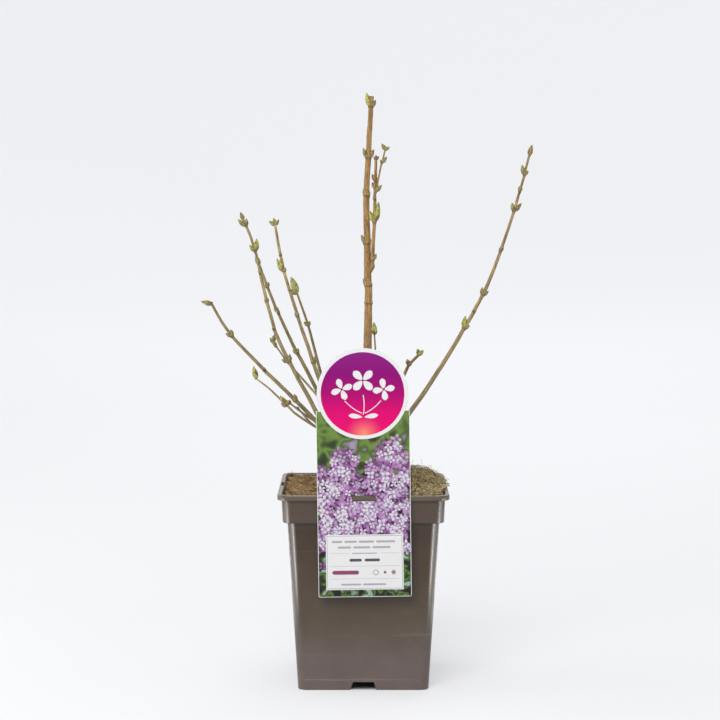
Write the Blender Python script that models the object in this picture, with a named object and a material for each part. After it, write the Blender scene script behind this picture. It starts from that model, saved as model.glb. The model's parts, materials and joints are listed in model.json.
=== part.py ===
"""Potted lilac bush: a bare young shrub with breaking buds, in a square nursery pot with a hang label.

Metres, +Z up. The origin is the middle of the pot's flat underside, and the label hangs on the -Y side.
The trunk and the boughs are tapering limbs. Each mass is one stem with twigs and bud pairs fused on.
"""
import math
import random
from collections import namedtuple

import bmesh
import bpy
from mathutils import Matrix, Vector

# Space kept between neighbouring pieces
GAP = 0.0003

# Square injection-moulded pot
POT_HEIGHT = 0.210
LIP_WIDTH = 0.180
LIP_DROP = 0.0055
COLLAR_TOP_WIDTH = 0.171
COLLAR_FOOT_WIDTH = 0.169
COLLAR_FOOT = 0.180
BODY_TOP_WIDTH = 0.1575
BODY_FOOT_WIDTH = 0.137
POT_WALL = 0.0015
CORNER_RADIUS = 0.010
LIP_CORNER_RADIUS = 0.012
CORNER_STEPS = 4
FLOOR_UNDERSIDE = 0.009
FLOOR_THICKNESS = 0.0018
NOTCH_TOP_WIDTH = 0.022
NOTCH_FOOT_WIDTH = 0.028
NOTCH_HEIGHT = 0.0087
NOTCH_DEPTH = 0.012
PAD_RADIUS = 0.012
PAD_SIDES = 24
DRAIN_RADIUS = 0.0045
DRAIN_SIDES = 12
DRAIN_INSET = 0.026
LIP_SLOT_LENGTH = 0.028
LIP_SLOT_WIDTH = 0.0028

# How far the pot's cutters run past the plastic, and the skin that the skirt's channel leaves on the collar
CUT_PAST = 0.020
COLLAR_SPARE = 0.0004

# Fibrous root ball that fills the pot
SOIL_LEVEL = 0.2045
SOIL_BUMP = 0.0008
BUMPS_ACROSS = 210
BUMPS_ALONG = 170
BUMPS_SLANTED = 330
BUMP_SHIFT = 1.3
MOUND_RISE = 0.025
MOUND_MIDDLE = (0.058, 0.004)
MOUND_REACH = (0.030, 0.062)
SEAT_LEVEL = 0.2070
SEAT_RADIUS = 0.022
SEAT_BLEND = 0.014
SOIL_STEPS = 16

# Plastic hang label, hooked over the lip by its punched tongue
CARD_WIDTH = 0.097
CARD_FOOT = 0.104
CARD_SHOULDER = 0.299
CARD_THICKNESS = 0.0006
HEAD_RADIUS = 0.0475
HEAD_MIDDLE = 0.3165
HEAD_STEPS = 28
WINDOW_WIDTH = 0.025
WINDOW_HEIGHT = 0.006
TONGUE_HANG = 0.0055
TONGUE_CLEAR = 0.0005
CARD_TURN = math.radians(-0.77)

# Stems and twigs
MM = 0.001
RING_SPACING = 0.022
RING_WANDER = 0.0003
SQUARE_END = 0.0025
NODE_SWELL = 1.35
NODE_HALF_LENGTH = 0.0022
FLARE_WIDTH = 0.019
FLARE_HEIGHT = 0.012
FLARE_RINGS = (0.4, 0.9, 1.5)
FOOT_RINGS = ((0, 1.45), (0.0025, 1.25), (0.006, 1.08))
COLLAR_SWELL = 1.3
HEADING_STEP = 0.004
TRUNK_SEED = 11
LIMB_SEED = 20
SPUR_SEED = 40
BUD_LEAN = math.radians(30)
FULL_LEAN_LENGTH = 0.013
TIP_LEAN = math.radians(46)
BUD_WIDTH = 0.0033
BUD_WIDTH_LENGTH = 0.0070
BUD_WIDTH_POWER = 0.75
BUD_SINK = 0.0012
BUD_INSET = 0.6
BUD_POINT = 0.35
TURN_WANDER = 12

# One opposite pair of buds: its place as a share of the stem's length, its turn about the stem in
# degrees from the plane seen from the front, and the lengths in millimetres of the left and the
# right bud. From pair to pair the turn goes on by about a right angle, as it does on a lilac.
Pair = namedtuple("Pair", "share turn left right")

# A stem or twig: the points it passes through, its width at foot and tip, its pairs of buds, and the
# lengths in millimetres of the tip's middle, left and right buds.
Shoot = namedtuple("Shoot", "route widths pairs tip")

TRUNK = Shoot(
    route=(
        (0.0050, 0.0030, SEAT_LEVEL + GAP),
        (0.0050, 0.0030, 0.3600),
        (0.0055, 0.0040, 0.4090),
        (0.0040, 0.0055, 0.4675),
        (0.0035, 0.0065, 0.5210),
        (0.0060, 0.0080, 0.5735),
        (0.0088, 0.0090, 0.6265),
    ),
    widths=(0.0112, 0.0050),
    pairs=(
        Pair(0.473, 0, 0, 5), Pair(0.519, 20, 9, 5), Pair(0.627, 0, 11, 6), Pair(0.748, 35, 9, 6),
        Pair(0.845, 0, 12, 11), Pair(0.975, 0, 16, 9),
    ),
    tip=(0, 0, 0),
)

# Each limb runs on from a bough, up to the given share of its length, into the main stem of a mass
Limb = namedtuple("Limb", "bough mass bough_share shoot")

LIMBS = (
    Limb("bough_left_low", "twigs_left_low", 0.19, Shoot(
        route=(
            (0.0050, 0.0030, 0.2300),
            (-0.0330, -0.0160, 0.2625),
            (-0.0490, -0.0210, 0.2785),
            (-0.0675, -0.0270, 0.2985),
            (-0.1065, -0.0365, 0.3385),
            (-0.1415, -0.0505, 0.3780),
            (-0.1587, -0.0600, 0.4080),
        ),
        widths=(0.0070, 0.0030),
        pairs=(Pair(0.43, 0, 4, 8), Pair(0.624, 80, 5, 6), Pair(0.833, 10, 8, 8)),
        tip=(4, 13, 4),
    )),
    Limb("bough_left_middle", "twigs_left_middle", 0.14, Shoot(
        route=(
            (-0.0090, 0.0150, SEAT_LEVEL + GAP),
            (-0.0330, 0.0150, 0.2535),
            (-0.0520, 0.0160, 0.2885),
            (-0.0770, 0.0255, 0.3335),
            (-0.0960, 0.0365, 0.3720),
            (-0.1085, 0.0485, 0.4170),
            (-0.1200, 0.0610, 0.4640),
            (-0.1325, 0.0700, 0.4945),
        ),
        widths=(0.0066, 0.0028),
        pairs=(
            Pair(0.475, 0, 8, 9), Pair(0.60, 90, 5, 4), Pair(0.70, 0, 4, 4), Pair(0.80, 90, 6, 6),
            Pair(0.88, 0, 10, 15), Pair(0.975, 20, 13, 9),
        ),
        tip=(10, 0, 0),
    )),
    Limb("bough_left_high", "twigs_left_high", 0.16, Shoot(
        route=(
            (-0.0095, 0.0020, SEAT_LEVEL + GAP),
            (-0.0275, 0.0050, 0.2640),
            (-0.0500, 0.0200, 0.3275),
            (-0.0705, 0.0490, 0.3845),
            (-0.0875, 0.0745, 0.4360),
            (-0.0983, 0.0980, 0.4875),
        ),
        widths=(0.0060, 0.0030),
        pairs=(Pair(0.454, 0, 4, 9), Pair(0.64, 60, 10, 6), Pair(0.82, 0, 19, 5), Pair(0.882, 85, 6, 5)),
        tip=(10, 10, 9),
    )),
    Limb("bough_right", "twigs_right", 0.13, Shoot(
        route=(
            (0.0050, 0.0030, 0.2260),
            (0.0300, 0.0050, 0.2565),
            (0.0505, 0.0100, 0.2860),
            (0.0710, 0.0165, 0.3145),
            (0.1035, 0.0270, 0.3660),
            (0.1330, 0.0375, 0.4180),
            (0.1535, 0.0475, 0.4700),
            (0.1720, 0.0575, 0.5265),
            (0.1823, 0.0650, 0.5642),
        ),
        widths=(0.0072, 0.0028),
        pairs=(
            Pair(0.47, 0, 14, 7), Pair(0.525, 90, 3, 3), Pair(0.579, 0, 9, 8), Pair(0.714, 75, 8, 7),
            Pair(0.835, 0, 10, 13), Pair(0.893, 90, 10, 8), Pair(0.944, 0, 12, 7),
        ),
        tip=(14, 0, 4),
    )),
)

# Twigs that leave the main stem of a mass: the share of that stem where each one leaves it
Twig = namedtuple("Twig", "mass leaves_at shoot")

TWIGS = (
    Twig("twigs_left_low", 0.02, Shoot(
        route=((-0.0637, -0.0100, 0.2807), (-0.0834, 0.0070, 0.2951), (-0.0962, 0.0190, 0.3065),
               (-0.1171, 0.0380, 0.3208)),
        widths=(0.0030, 0.0018), pairs=(Pair(0.54, 60, 12, 14),), tip=(4, 0, 17),
    )),
    Twig("twigs_left_low", 0.12, Shoot(
        route=((-0.0700, -0.0140, 0.2920), (-0.0787, -0.0100, 0.2986)),
        widths=(0.0026, 0.0018), pairs=(), tip=(7, 6, 5),
    )),
    Twig("twigs_left_low", 0.03, Shoot(
        route=((-0.0545, -0.0240, 0.2780), (-0.0694, -0.0320, 0.2953)),
        widths=(0.0026, 0.0018), pairs=(), tip=(4, 0, 0),
    )),
    Twig("twigs_left_middle", 0.02, Shoot(
        route=((-0.0405, 0.0040, 0.2890), (-0.0520, -0.0100, 0.3170), (-0.0750, -0.0330, 0.3640),
               (-0.0965, -0.0590, 0.4160), (-0.1080, -0.0775, 0.4500)),
        widths=(0.0050, 0.0026),
        pairs=(Pair(0.511, 0, 6, 6), Pair(0.738, 70, 10, 7), Pair(0.88, 0, 4, 6)), tip=(13, 0, 0),
    )),
    Twig("twigs_left_middle", 0.03, Shoot(
        route=((-0.0470, 0.0240, 0.2985), (-0.0660, 0.0460, 0.3185), (-0.0855, 0.0640, 0.3390),
               (-0.1000, 0.0740, 0.3580)),
        widths=(0.0032, 0.0018), pairs=(Pair(0.80, 0, 8, 6), Pair(0.96, 70, 5, 9)), tip=(8, 0, 11),
    )),
    Twig("twigs_left_high", 0.03, Shoot(
        route=((-0.0370, -0.0080, 0.3000), (-0.0465, -0.0200, 0.3360), (-0.0580, -0.0560, 0.3865),
               (-0.0686, -0.0860, 0.4205)),
        widths=(0.0040, 0.0022), pairs=(Pair(0.429, 90, 4, 4), Pair(0.75, 0, 8, 6)), tip=(26, 13, 0),
    )),
)

# Masses that leave the trunk's side: the height of the fork, the main stem and its own twigs
Spur = namedtuple("Spur", "mass fork shoot twigs")

SPURS = (
    Spur("twigs_top", 0.4450, Shoot(
        route=((0.0102, 0.0005, 0.4590), (0.0118, -0.0060, 0.4900), (0.0122, -0.0130, 0.5220),
               (0.0133, -0.0210, 0.5590)),
        widths=(0.0042, 0.0030),
        pairs=(
            Pair(0.066, 0, 3, 8), Pair(0.421, 0, 14, 23), Pair(0.64, 90, 4, 4), Pair(0.74, 10, 7, 0),
            Pair(0.81, 10, 8, 4),
        ),
        tip=(6, 5, 6),
    ), (
        (0.66, Shoot(
            route=((0.0172, -0.0270, 0.5440), (0.0199, -0.0320, 0.5572), (0.0230, -0.0360, 0.5690)),
            widths=(0.0022, 0.0018), pairs=(Pair(0.12, 0, 0, 11), Pair(0.74, 0, 4, 9)), tip=(3, 9, 7),
        )),
    )),
    Spur("twigs_inner", 0.3180, Shoot(
        route=((0.0122, -0.0060, 0.3400), (0.0124, -0.0130, 0.3600), (0.0118, -0.0180, 0.3740)),
        widths=(0.0026, 0.0017), pairs=(), tip=(15, 5, 6),
    ), ()),
    Spur("twigs_right_low", 0.2580, Shoot(
        route=((0.0300, -0.0065, 0.3020), (0.0450, -0.0150, 0.3320), (0.0495, -0.0320, 0.3435),
               (0.0585, -0.0450, 0.3535)),
        widths=(0.0046, 0.0030), pairs=(Pair(0.82, 0, 10, 4),), tip=(11, 9, 0),
    ), ()),
)

COLOURS = {
    "pot": (0.110, 0.086, 0.070),
    "root_ball": (0.180, 0.115, 0.055),
    "hang_label": (0.480, 0.250, 0.460),
    "bark": (0.290, 0.180, 0.090),
    "twigs": (0.250, 0.190, 0.080),
}
ROUGHNESS = {"pot": 0.45, "root_ball": 0.95, "hang_label": 0.35, "bark": 0.80, "twigs": 0.75}


def clear_scene():
    for thing in list(bpy.data.objects):
        bpy.data.objects.remove(thing, do_unlink=True)


def new_collection(name):
    collection = bpy.data.collections.new(name)
    bpy.context.scene.collection.children.link(collection)
    return collection


clear_scene()
BUSH = new_collection("potted_lilac_bush")
CUTTERS = new_collection("cutters")


def finish_of(name, kind):
    """One Principled material for one piece."""
    material = bpy.data.materials.new(f"{name}_finish")
    material.use_nodes = True
    shader = material.node_tree.nodes["Principled BSDF"]
    shader.inputs["Base Color"].default_value = (*COLOURS[kind], 1)
    shader.inputs["Roughness"].default_value = ROUGHNESS[kind]
    shader.inputs["Metallic"].default_value = 0
    return material


def solid(name, mesh_builder):
    """An object whose mesh the builder function fills in as a bmesh."""
    mesh = bpy.data.meshes.new(name)
    form = bmesh.new()
    mesh_builder(form)
    bmesh.ops.recalc_face_normals(form, faces=form.faces)
    form.to_mesh(mesh)
    form.free()
    made = bpy.data.objects.new(name, mesh)
    CUTTERS.objects.link(made)
    made.hide_render = True
    made.display_type = "WIRE"
    return made


def join(body, operation, others):
    """Unite the body with the others, or cut them out of it, and remove them."""
    group = new_collection("joining")
    for other in others:
        for holder in list(other.users_collection):
            holder.objects.unlink(other)
        group.objects.link(other)
    boolean = body.modifiers.new(operation.lower(), "BOOLEAN")
    boolean.operation = operation
    boolean.operand_type = "COLLECTION"
    boolean.collection = group
    boolean.solver = "EXACT"
    graph = bpy.context.evaluated_depsgraph_get()
    joined = bpy.data.meshes.new_from_object(body.evaluated_get(graph))
    body.modifiers.remove(boolean)
    old = body.data
    body.data = joined
    bpy.data.meshes.remove(old)
    for other in others:
        bpy.data.objects.remove(other, do_unlink=True)
    bpy.data.collections.remove(group)


def keep(piece, kind):
    """Move a finished piece from the cutters to the bush and give it its own material."""
    for holder in list(piece.users_collection):
        holder.objects.unlink(piece)
    BUSH.objects.link(piece)
    piece.hide_render = False
    piece.display_type = "TEXTURED"
    piece.data.name = piece.name
    piece.data.materials.clear()
    piece.data.materials.append(finish_of(piece.name, kind))


def block(name, size, middle):
    def fill(form):
        bmesh.ops.create_cube(form, size=1)
        bmesh.ops.scale(form, vec=size, verts=form.verts)
        bmesh.ops.translate(form, vec=middle, verts=form.verts)

    return solid(name, fill)


def disc(name, radius, middle, low, high, sides):
    def fill(form):
        bmesh.ops.create_cone(form, cap_ends=True, segments=sides, radius1=radius, radius2=radius,
                              depth=high - low)
        bmesh.ops.translate(form, vec=(*middle, (high + low) / 2), verts=form.verts)

    return solid(name, fill)


def square_taper(name, low_width, high_width, low, high, corner):
    """A four-sided frustum whose upright edges are rounded."""
    def fill(form):
        bmesh.ops.create_cone(form, cap_ends=True, segments=4, radius1=low_width / math.sqrt(2),
                              radius2=high_width / math.sqrt(2), depth=high - low)
        bmesh.ops.rotate(form, matrix=Matrix.Rotation(math.radians(45), 3, "Z"), verts=form.verts)
        bmesh.ops.translate(form, vec=(0, 0, (low + high) / 2), verts=form.verts)
        upright = [e for e in form.edges if abs(e.verts[0].co.z - e.verts[1].co.z) > (high - low) / 2]
        bmesh.ops.bevel(form, geom=upright, offset=corner, segments=CORNER_STEPS, profile=0.5,
                        affect="EDGES", offset_type="OFFSET")

    return solid(name, fill)


def blend(low, high, share):
    return low + (high - low) * share


def body_width(z):
    return blend(BODY_FOOT_WIDTH, BODY_TOP_WIDTH, z / COLLAR_FOOT)


def collar_width(z):
    share = (z - COLLAR_FOOT) / (POT_HEIGHT - LIP_DROP - COLLAR_FOOT)
    return blend(COLLAR_FOOT_WIDTH, COLLAR_TOP_WIDTH, share)


def four_turns(piece_at):
    """The four copies of a cutter, one to each side of the pot."""
    pieces = []
    for quarter in range(4):
        piece = piece_at(quarter)
        piece.data.transform(Matrix.Rotation(quarter * math.pi / 2, 4, "Z"))
        pieces.append(piece)
    return pieces


def foot_notch(quarter):
    notch = block(f"notch_{quarter}", (1, NOTCH_DEPTH, NOTCH_HEIGHT * 2), (0, -BODY_FOOT_WIDTH / 2, 0))
    for vertex in notch.data.vertices:
        width = NOTCH_TOP_WIDTH if vertex.co.z > 0 else 2 * NOTCH_FOOT_WIDTH - NOTCH_TOP_WIDTH
        vertex.co.x = math.copysign(width / 2, vertex.co.x)
    return notch


def lip_slot(quarter):
    middle = (collar_width(POT_HEIGHT - LIP_DROP) + LIP_WIDTH - 2 * POT_WALL) / 4
    return block(f"lip_slot_{quarter}", (LIP_SLOT_LENGTH, LIP_SLOT_WIDTH, 2 * LIP_DROP),
                 (0, -middle, POT_HEIGHT))


def make_pot():
    over = CUT_PAST
    skirt_width = LIP_WIDTH - 2 * POT_WALL
    pot = square_taper("pot", body_width(0), body_width(COLLAR_FOOT + POT_WALL), 0,
                       COLLAR_FOOT + POT_WALL, CORNER_RADIUS)
    collar_top = POT_HEIGHT - POT_WALL / 2
    collar = square_taper("collar", collar_width(COLLAR_FOOT), collar_width(collar_top), COLLAR_FOOT,
                          collar_top, CORNER_RADIUS)
    lip = square_taper("lip", LIP_WIDTH, LIP_WIDTH, POT_HEIGHT - LIP_DROP, POT_HEIGHT,
                       LIP_CORNER_RADIUS)
    join(pot, "UNION", [collar, lip])

    low_cavity = square_taper(
        "low_cavity", body_width(FLOOR_UNDERSIDE + FLOOR_THICKNESS) - 2 * POT_WALL,
        body_width(COLLAR_FOOT + 2 * POT_WALL) - 2 * POT_WALL,
        FLOOR_UNDERSIDE + FLOOR_THICKNESS, COLLAR_FOOT + 2 * POT_WALL, CORNER_RADIUS - POT_WALL)
    high_cavity = square_taper(
        "high_cavity", collar_width(COLLAR_FOOT + POT_WALL) - 2 * POT_WALL,
        collar_width(POT_HEIGHT + over) - 2 * POT_WALL,
        COLLAR_FOOT + POT_WALL, POT_HEIGHT + over, CORNER_RADIUS - POT_WALL)
    recess = square_taper("recess", body_width(-over) - 2 * POT_WALL,
                          body_width(FLOOR_UNDERSIDE) - 2 * POT_WALL,
                          -over, FLOOR_UNDERSIDE, CORNER_RADIUS - POT_WALL)
    pad = disc("pad", PAD_RADIUS, (0, 0), 0, POT_HEIGHT, PAD_SIDES)
    join(recess, "DIFFERENCE", [pad])
    channel_low = POT_HEIGHT - LIP_DROP - over / 2
    channel = square_taper("channel", skirt_width, skirt_width, channel_low, POT_HEIGHT - POT_WALL,
                           LIP_CORNER_RADIUS - POT_WALL)
    core = square_taper("channel_core", collar_width(channel_low - over) + COLLAR_SPARE,
                        collar_width(POT_HEIGHT + over) + COLLAR_SPARE,
                        channel_low - over, POT_HEIGHT + over, CORNER_RADIUS)
    join(channel, "DIFFERENCE", [core])
    drains = []
    offset = BODY_FOOT_WIDTH / 2 - DRAIN_INSET
    for x in (-offset, 0, offset):
        for y in (-offset, 0, offset):
            if (x, y) != (0, 0):
                drains.append(disc("drain", DRAIN_RADIUS, (x, y), FLOOR_UNDERSIDE - 2 * FLOOR_THICKNESS,
                                   FLOOR_UNDERSIDE + 3 * FLOOR_THICKNESS, DRAIN_SIDES))
    cuts = [low_cavity, high_cavity, recess, channel, *drains]
    cuts += four_turns(foot_notch) + four_turns(lip_slot)
    join(pot, "DIFFERENCE", cuts)
    keep(pot, "pot")


def soil_height(x, y):
    """The lie of the fibre: low on the left, a mound on the right, and a flat seat for the stems."""
    across = (x - MOUND_MIDDLE[0]) / MOUND_REACH[0]
    along = (y - MOUND_MIDDLE[1]) / MOUND_REACH[1]
    mound = MOUND_RISE * math.exp(-(across * across + along * along))
    crossed = math.sin(x * BUMPS_ACROSS + BUMP_SHIFT) * math.cos(y * BUMPS_ALONG)
    bumps = SOIL_BUMP * (crossed + math.sin((x - y) * BUMPS_SLANTED))
    height = SOIL_LEVEL + mound + bumps
    away = (math.hypot(x, y) - SEAT_RADIUS) / SEAT_BLEND
    share = min(max(away, 0), 1)
    return blend(SEAT_LEVEL, height, share * share * (3 - 2 * share))


def rounded(x, y, half, corner):
    """Move a point of a square onto the square with round corners, ring by ring."""
    inner = half - corner
    past_x = max(abs(x) - inner, 0)
    past_y = max(abs(y) - inner, 0)
    reach = math.hypot(past_x, past_y)
    if past_x and past_y:
        shrink = max(past_x, past_y) / reach
        x = math.copysign(inner + past_x * shrink, x)
        y = math.copysign(inner + past_y * shrink, y)
    return x, y


def make_root_ball():
    corner = CORNER_RADIUS - POT_WALL
    ledge = COLLAR_FOOT + POT_WALL + GAP
    foot_half = collar_width(ledge) / 2 - POT_WALL - GAP
    top_half = collar_width(SOIL_LEVEL) / 2 - POT_WALL - GAP

    def fill(form):
        bmesh.ops.create_grid(form, x_segments=SOIL_STEPS, y_segments=SOIL_STEPS, size=top_half)
        low_verts = list(form.verts)
        made = bmesh.ops.extrude_face_region(form, geom=list(form.faces))
        high_verts = [g for g in made["geom"] if isinstance(g, bmesh.types.BMVert)]
        for vertex in high_verts:
            x, y = rounded(vertex.co.x, vertex.co.y, top_half, corner)
            vertex.co = (x, y, soil_height(x, y))
        for vertex in low_verts:
            x, y = rounded(vertex.co.x, vertex.co.y, top_half, corner)
            shrink = foot_half / top_half
            vertex.co = (x * shrink, y * shrink, ledge)
        flat = [f for f in form.faces if all(abs(v.co.z - ledge) < 1e-6 for v in f.verts)]
        edges = [e for e in form.edges if all(f in flat for f in e.link_faces)]
        bmesh.ops.dissolve_edges(form, edges=edges, use_verts=True)

    ball = solid("root_ball", fill)
    low = FLOOR_UNDERSIDE + FLOOR_THICKNESS + GAP
    high = COLLAR_FOOT + 4 * POT_WALL
    lower = square_taper("lower_ball", body_width(low) - 2 * (POT_WALL + GAP),
                         body_width(high) - 2 * (POT_WALL + GAP), low, high, corner)
    join(ball, "UNION", [lower])
    keep(ball, "root_ball")


def card_outline():
    """Straight sides up to the shoulders, then the round head."""
    half = CARD_WIDTH / 2
    rise = CARD_SHOULDER - HEAD_MIDDLE
    start = math.asin(rise / HEAD_RADIUS)
    sweep = math.pi - 2 * start
    outline = [(-half, CARD_FOOT), (half, CARD_FOOT), (half, CARD_SHOULDER)]
    for step in range(HEAD_STEPS + 1):
        angle = start + sweep * step / HEAD_STEPS
        outline.append((HEAD_RADIUS * math.cos(angle), HEAD_MIDDLE + HEAD_RADIUS * math.sin(angle)))
    outline.append((-half, CARD_SHOULDER))
    return outline


def window_outline():
    half = WINDOW_WIDTH / 2
    high = POT_HEIGHT + TONGUE_CLEAR
    low = high - WINDOW_HEIGHT
    return [(-half, low), (half, low), (half, high), (-half, high)]


def curve_mesh(name, curve, place):
    """Turn a curve into a closed mesh object whose caps are welded."""
    drawn = bpy.data.objects.new(f"{name}_curve", curve)
    CUTTERS.objects.link(drawn)
    drawn.matrix_world = place
    bpy.context.view_layer.update()
    graph = bpy.context.evaluated_depsgraph_get()
    mesh = bpy.data.meshes.new_from_object(drawn.evaluated_get(graph))
    form = bmesh.new()
    form.from_mesh(mesh)
    bmesh.ops.remove_doubles(form, verts=form.verts, dist=0.00001)
    bmesh.ops.recalc_face_normals(form, faces=form.faces)
    form.to_mesh(mesh)
    form.free()
    made = bpy.data.objects.new(name, mesh)
    made.matrix_world = place.copy()
    CUTTERS.objects.link(made)
    made.hide_render = True
    made.display_type = "WIRE"
    bpy.data.objects.remove(drawn, do_unlink=True)
    bpy.data.curves.remove(curve)
    return made


def make_label():
    curve = bpy.data.curves.new("card", "CURVE")
    curve.dimensions = "2D"
    curve.fill_mode = "BOTH"
    curve.extrude = CARD_THICKNESS / 2
    for outline in (card_outline(), window_outline()):
        spline = curve.splines.new("POLY")
        spline.points.add(len(outline) - 1)
        for point, (x, z) in zip(spline.points, outline):
            point.co = (x, z, 0, 1)
        spline.use_cyclic_u = True
    plane = -LIP_WIDTH / 2 - GAP - CARD_THICKNESS / 2
    stand_up = Matrix.Translation((0, plane, 0)) @ Matrix.Rotation(math.pi / 2, 4, "X")
    label = curve_mesh("hang_label", curve, stand_up)
    label.data.transform(label.matrix_world)
    label.matrix_world = Matrix.Identity(4)

    tongue_width = WINDOW_WIDTH - 2 * GAP
    low = POT_HEIGHT + TONGUE_CLEAR
    hook = -(collar_width(POT_HEIGHT - LIP_DROP) + LIP_WIDTH - 2 * POT_WALL) / 4
    bridge = block("bridge", (tongue_width, hook - plane, CARD_THICKNESS),
                   (0, (hook + plane) / 2, low + CARD_THICKNESS / 2))
    hang = block("hang", (tongue_width, CARD_THICKNESS, TONGUE_HANG + CARD_THICKNESS),
                 (0, hook, low + (CARD_THICKNESS - TONGUE_HANG) / 2))
    join(label, "UNION", [bridge, hang])
    pivot = Matrix.Translation((0, 0, low))
    label.data.transform(pivot @ Matrix.Rotation(CARD_TURN, 4, "Y") @ pivot.inverted())
    keep(label, "hang_label")


class Route:
    """A smooth line through points, read by its share of the length between them."""

    def __init__(self, points):
        self.points = [Vector(p) for p in points]
        self.marks = [0.0]
        for start, end in zip(self.points, self.points[1:]):
            self.marks.append(self.marks[-1] + (end - start).length)
        self.length = self.marks[-1]

    def slope(self, index):
        low = max(index - 1, 0)
        high = min(index + 1, len(self.points) - 1)
        return (self.points[high] - self.points[low]) / (self.marks[high] - self.marks[low])

    def at(self, share):
        along = min(max(share, 0), 1) * self.length
        index = 0
        while index < len(self.points) - 2 and along > self.marks[index + 1]:
            index += 1
        span = self.marks[index + 1] - self.marks[index]
        t = (along - self.marks[index]) / span
        start, end = self.points[index], self.points[index + 1]
        return ((2 * t ** 3 - 3 * t ** 2 + 1) * start + (t ** 3 - 2 * t ** 2 + t) * span * self.slope(index)
                + (3 * t ** 2 - 2 * t ** 3) * end + (t ** 3 - t ** 2) * span * self.slope(index + 1))

    def heading(self, share):
        return (self.at(share + HEADING_STEP) - self.at(share - HEADING_STEP)).normalized()


def tube(name, rings, resolution):
    """A round limb through the rings, each a point and a radius."""
    curve = bpy.data.curves.new(name, "CURVE")
    curve.dimensions = "3D"
    curve.bevel_depth = 1
    curve.bevel_resolution = resolution
    curve.use_fill_caps = True
    spline = curve.splines.new("POLY")
    spline.points.add(len(rings) - 1)
    for point, (place, radius) in zip(spline.points, rings):
        point.co = (*place, 1)
        point.radius = radius
    return curve_mesh(name, curve, Matrix.Identity(4))


def limb_rings(route, widths, start, end, nodes, chance, foot_swell=1.0):
    """Rings from one share of a route to another, thicker at each bud node."""
    shares = [start, end]
    count = max(2, round((end - start) * route.length / RING_SPACING))
    shares += [start + (end - start) * step / count for step in range(1, count)]
    close = SQUARE_END / route.length
    shares += [start + close, end - close]
    half = NODE_HALF_LENGTH / route.length
    near_nodes = [s for s in shares if all(abs(s - n) > 1.5 * half for n in nodes)]
    marks = {round(s, 6): 1.0 for s in near_nodes}
    for node in nodes:
        for share, swell in ((node - half, 1.0), (node, NODE_SWELL), (node + half, 1.0)):
            if start < share < end:
                marks[round(share, 6)] = swell
    marks[round(start, 6)] = foot_swell
    rings = []
    for share in sorted(marks):
        place = route.at(share)
        if start + close < share < end - close:
            place += Vector([chance.uniform(-RING_WANDER, RING_WANDER) for _ in range(3)])
        rings.append((place, blend(*widths, share) / 2 * marks[share]))
    first, last = rings[0][0], rings[-1][0]
    rings[1] = (first + route.heading(start) * SQUARE_END, rings[1][1])
    rings[-2] = (last - route.heading(end) * SQUARE_END, rings[-2][1])
    return rings


def bud(foot, heading, length):
    """One pointed bud: a slim spindle whose foot is sunk in its twig."""
    def fill(form):
        bmesh.ops.create_uvsphere(form, u_segments=5, v_segments=4, radius=0.5)
        width = BUD_WIDTH * (length / BUD_WIDTH_LENGTH) ** BUD_WIDTH_POWER
        for vertex in form.verts:
            squeeze = 1 - BUD_POINT * max(vertex.co.z * 2, 0)
            vertex.co = (vertex.co.x * width * squeeze, vertex.co.y * width * squeeze,
                         (vertex.co.z + 0.5) * length)
        turn = heading.to_track_quat("Z", "X").to_matrix().to_4x4()
        bmesh.ops.transform(form, matrix=Matrix.Translation(foot - heading * BUD_SINK) @ turn,
                            verts=form.verts)

    return solid("bud", fill)


def leaning(heading, sideways, lean):
    return (heading * math.cos(lean) + sideways * math.sin(lean)).normalized()


def square_to(heading, turn):
    """The direction square to a heading, turned from the right-hand side seen from the front."""
    across = Vector((0, 1, 0)).cross(heading).normalized()
    deep = across.cross(heading).normalized()
    return across * math.cos(math.radians(turn)) + deep * math.sin(math.radians(turn))


def node_shares(shoot):
    return [pair.share for pair in shoot.pairs]


def buds_on(shoot, route, chance):
    """The opposite pairs, and the buds of the tip."""
    buds = []
    for pair in shoot.pairs:
        heading = route.heading(pair.share)
        radius = blend(*shoot.widths, pair.share) / 2
        for side, size in ((0, pair.right), (180, pair.left)):
            length = size * MM
            if not length:
                continue
            sideways = square_to(heading, pair.turn + side + chance.uniform(-TURN_WANDER, TURN_WANDER))
            lean = BUD_LEAN * min(1, FULL_LEAN_LENGTH / length) ** 2
            foot = route.at(pair.share) + sideways * radius * BUD_INSET
            buds.append(bud(foot, leaning(heading, sideways, lean), length))
    heading = route.heading(1)
    across = square_to(heading, 0)
    middle, left, right = shoot.tip
    if middle:
        buds.append(bud(route.at(1), heading, middle * MM))
    for size, sideways in ((left, -across), (right, across)):
        length = size * MM
        if length:
            lean = TIP_LEAN * min(1, FULL_LEAN_LENGTH / length)
            buds.append(bud(route.at(1), leaning(heading, sideways, lean), length))
    return buds


def trunk_flare(height):
    """What the root flare adds to the trunk's radius at a height over the soil."""
    return (FLARE_WIDTH - TRUNK.widths[0]) / 2 * math.exp(-(height / FLARE_HEIGHT) ** 2)


def make_trunk():
    chance = random.Random(TRUNK_SEED)
    route = Route(TRUNK.route)
    rings = limb_rings(route, TRUNK.widths, 0, 1, node_shares(TRUNK), chance)
    flared = [(place, radius + trunk_flare(place.z - SEAT_LEVEL)) for place, radius in rings]
    foot = flared[0][0]
    for share in FLARE_RINGS:
        height = share * FLARE_HEIGHT
        place = Vector((foot.x, foot.y, foot.z + height))
        flared.append((place, TRUNK.widths[0] / 2 + trunk_flare(height)))
    flared.sort(key=lambda ring: ring[0].z)
    trunk = tube("trunk", flared, 2)
    join(trunk, "UNION", buds_on(TRUNK, route, chance))
    keep(trunk, "bark")
    return route


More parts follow.
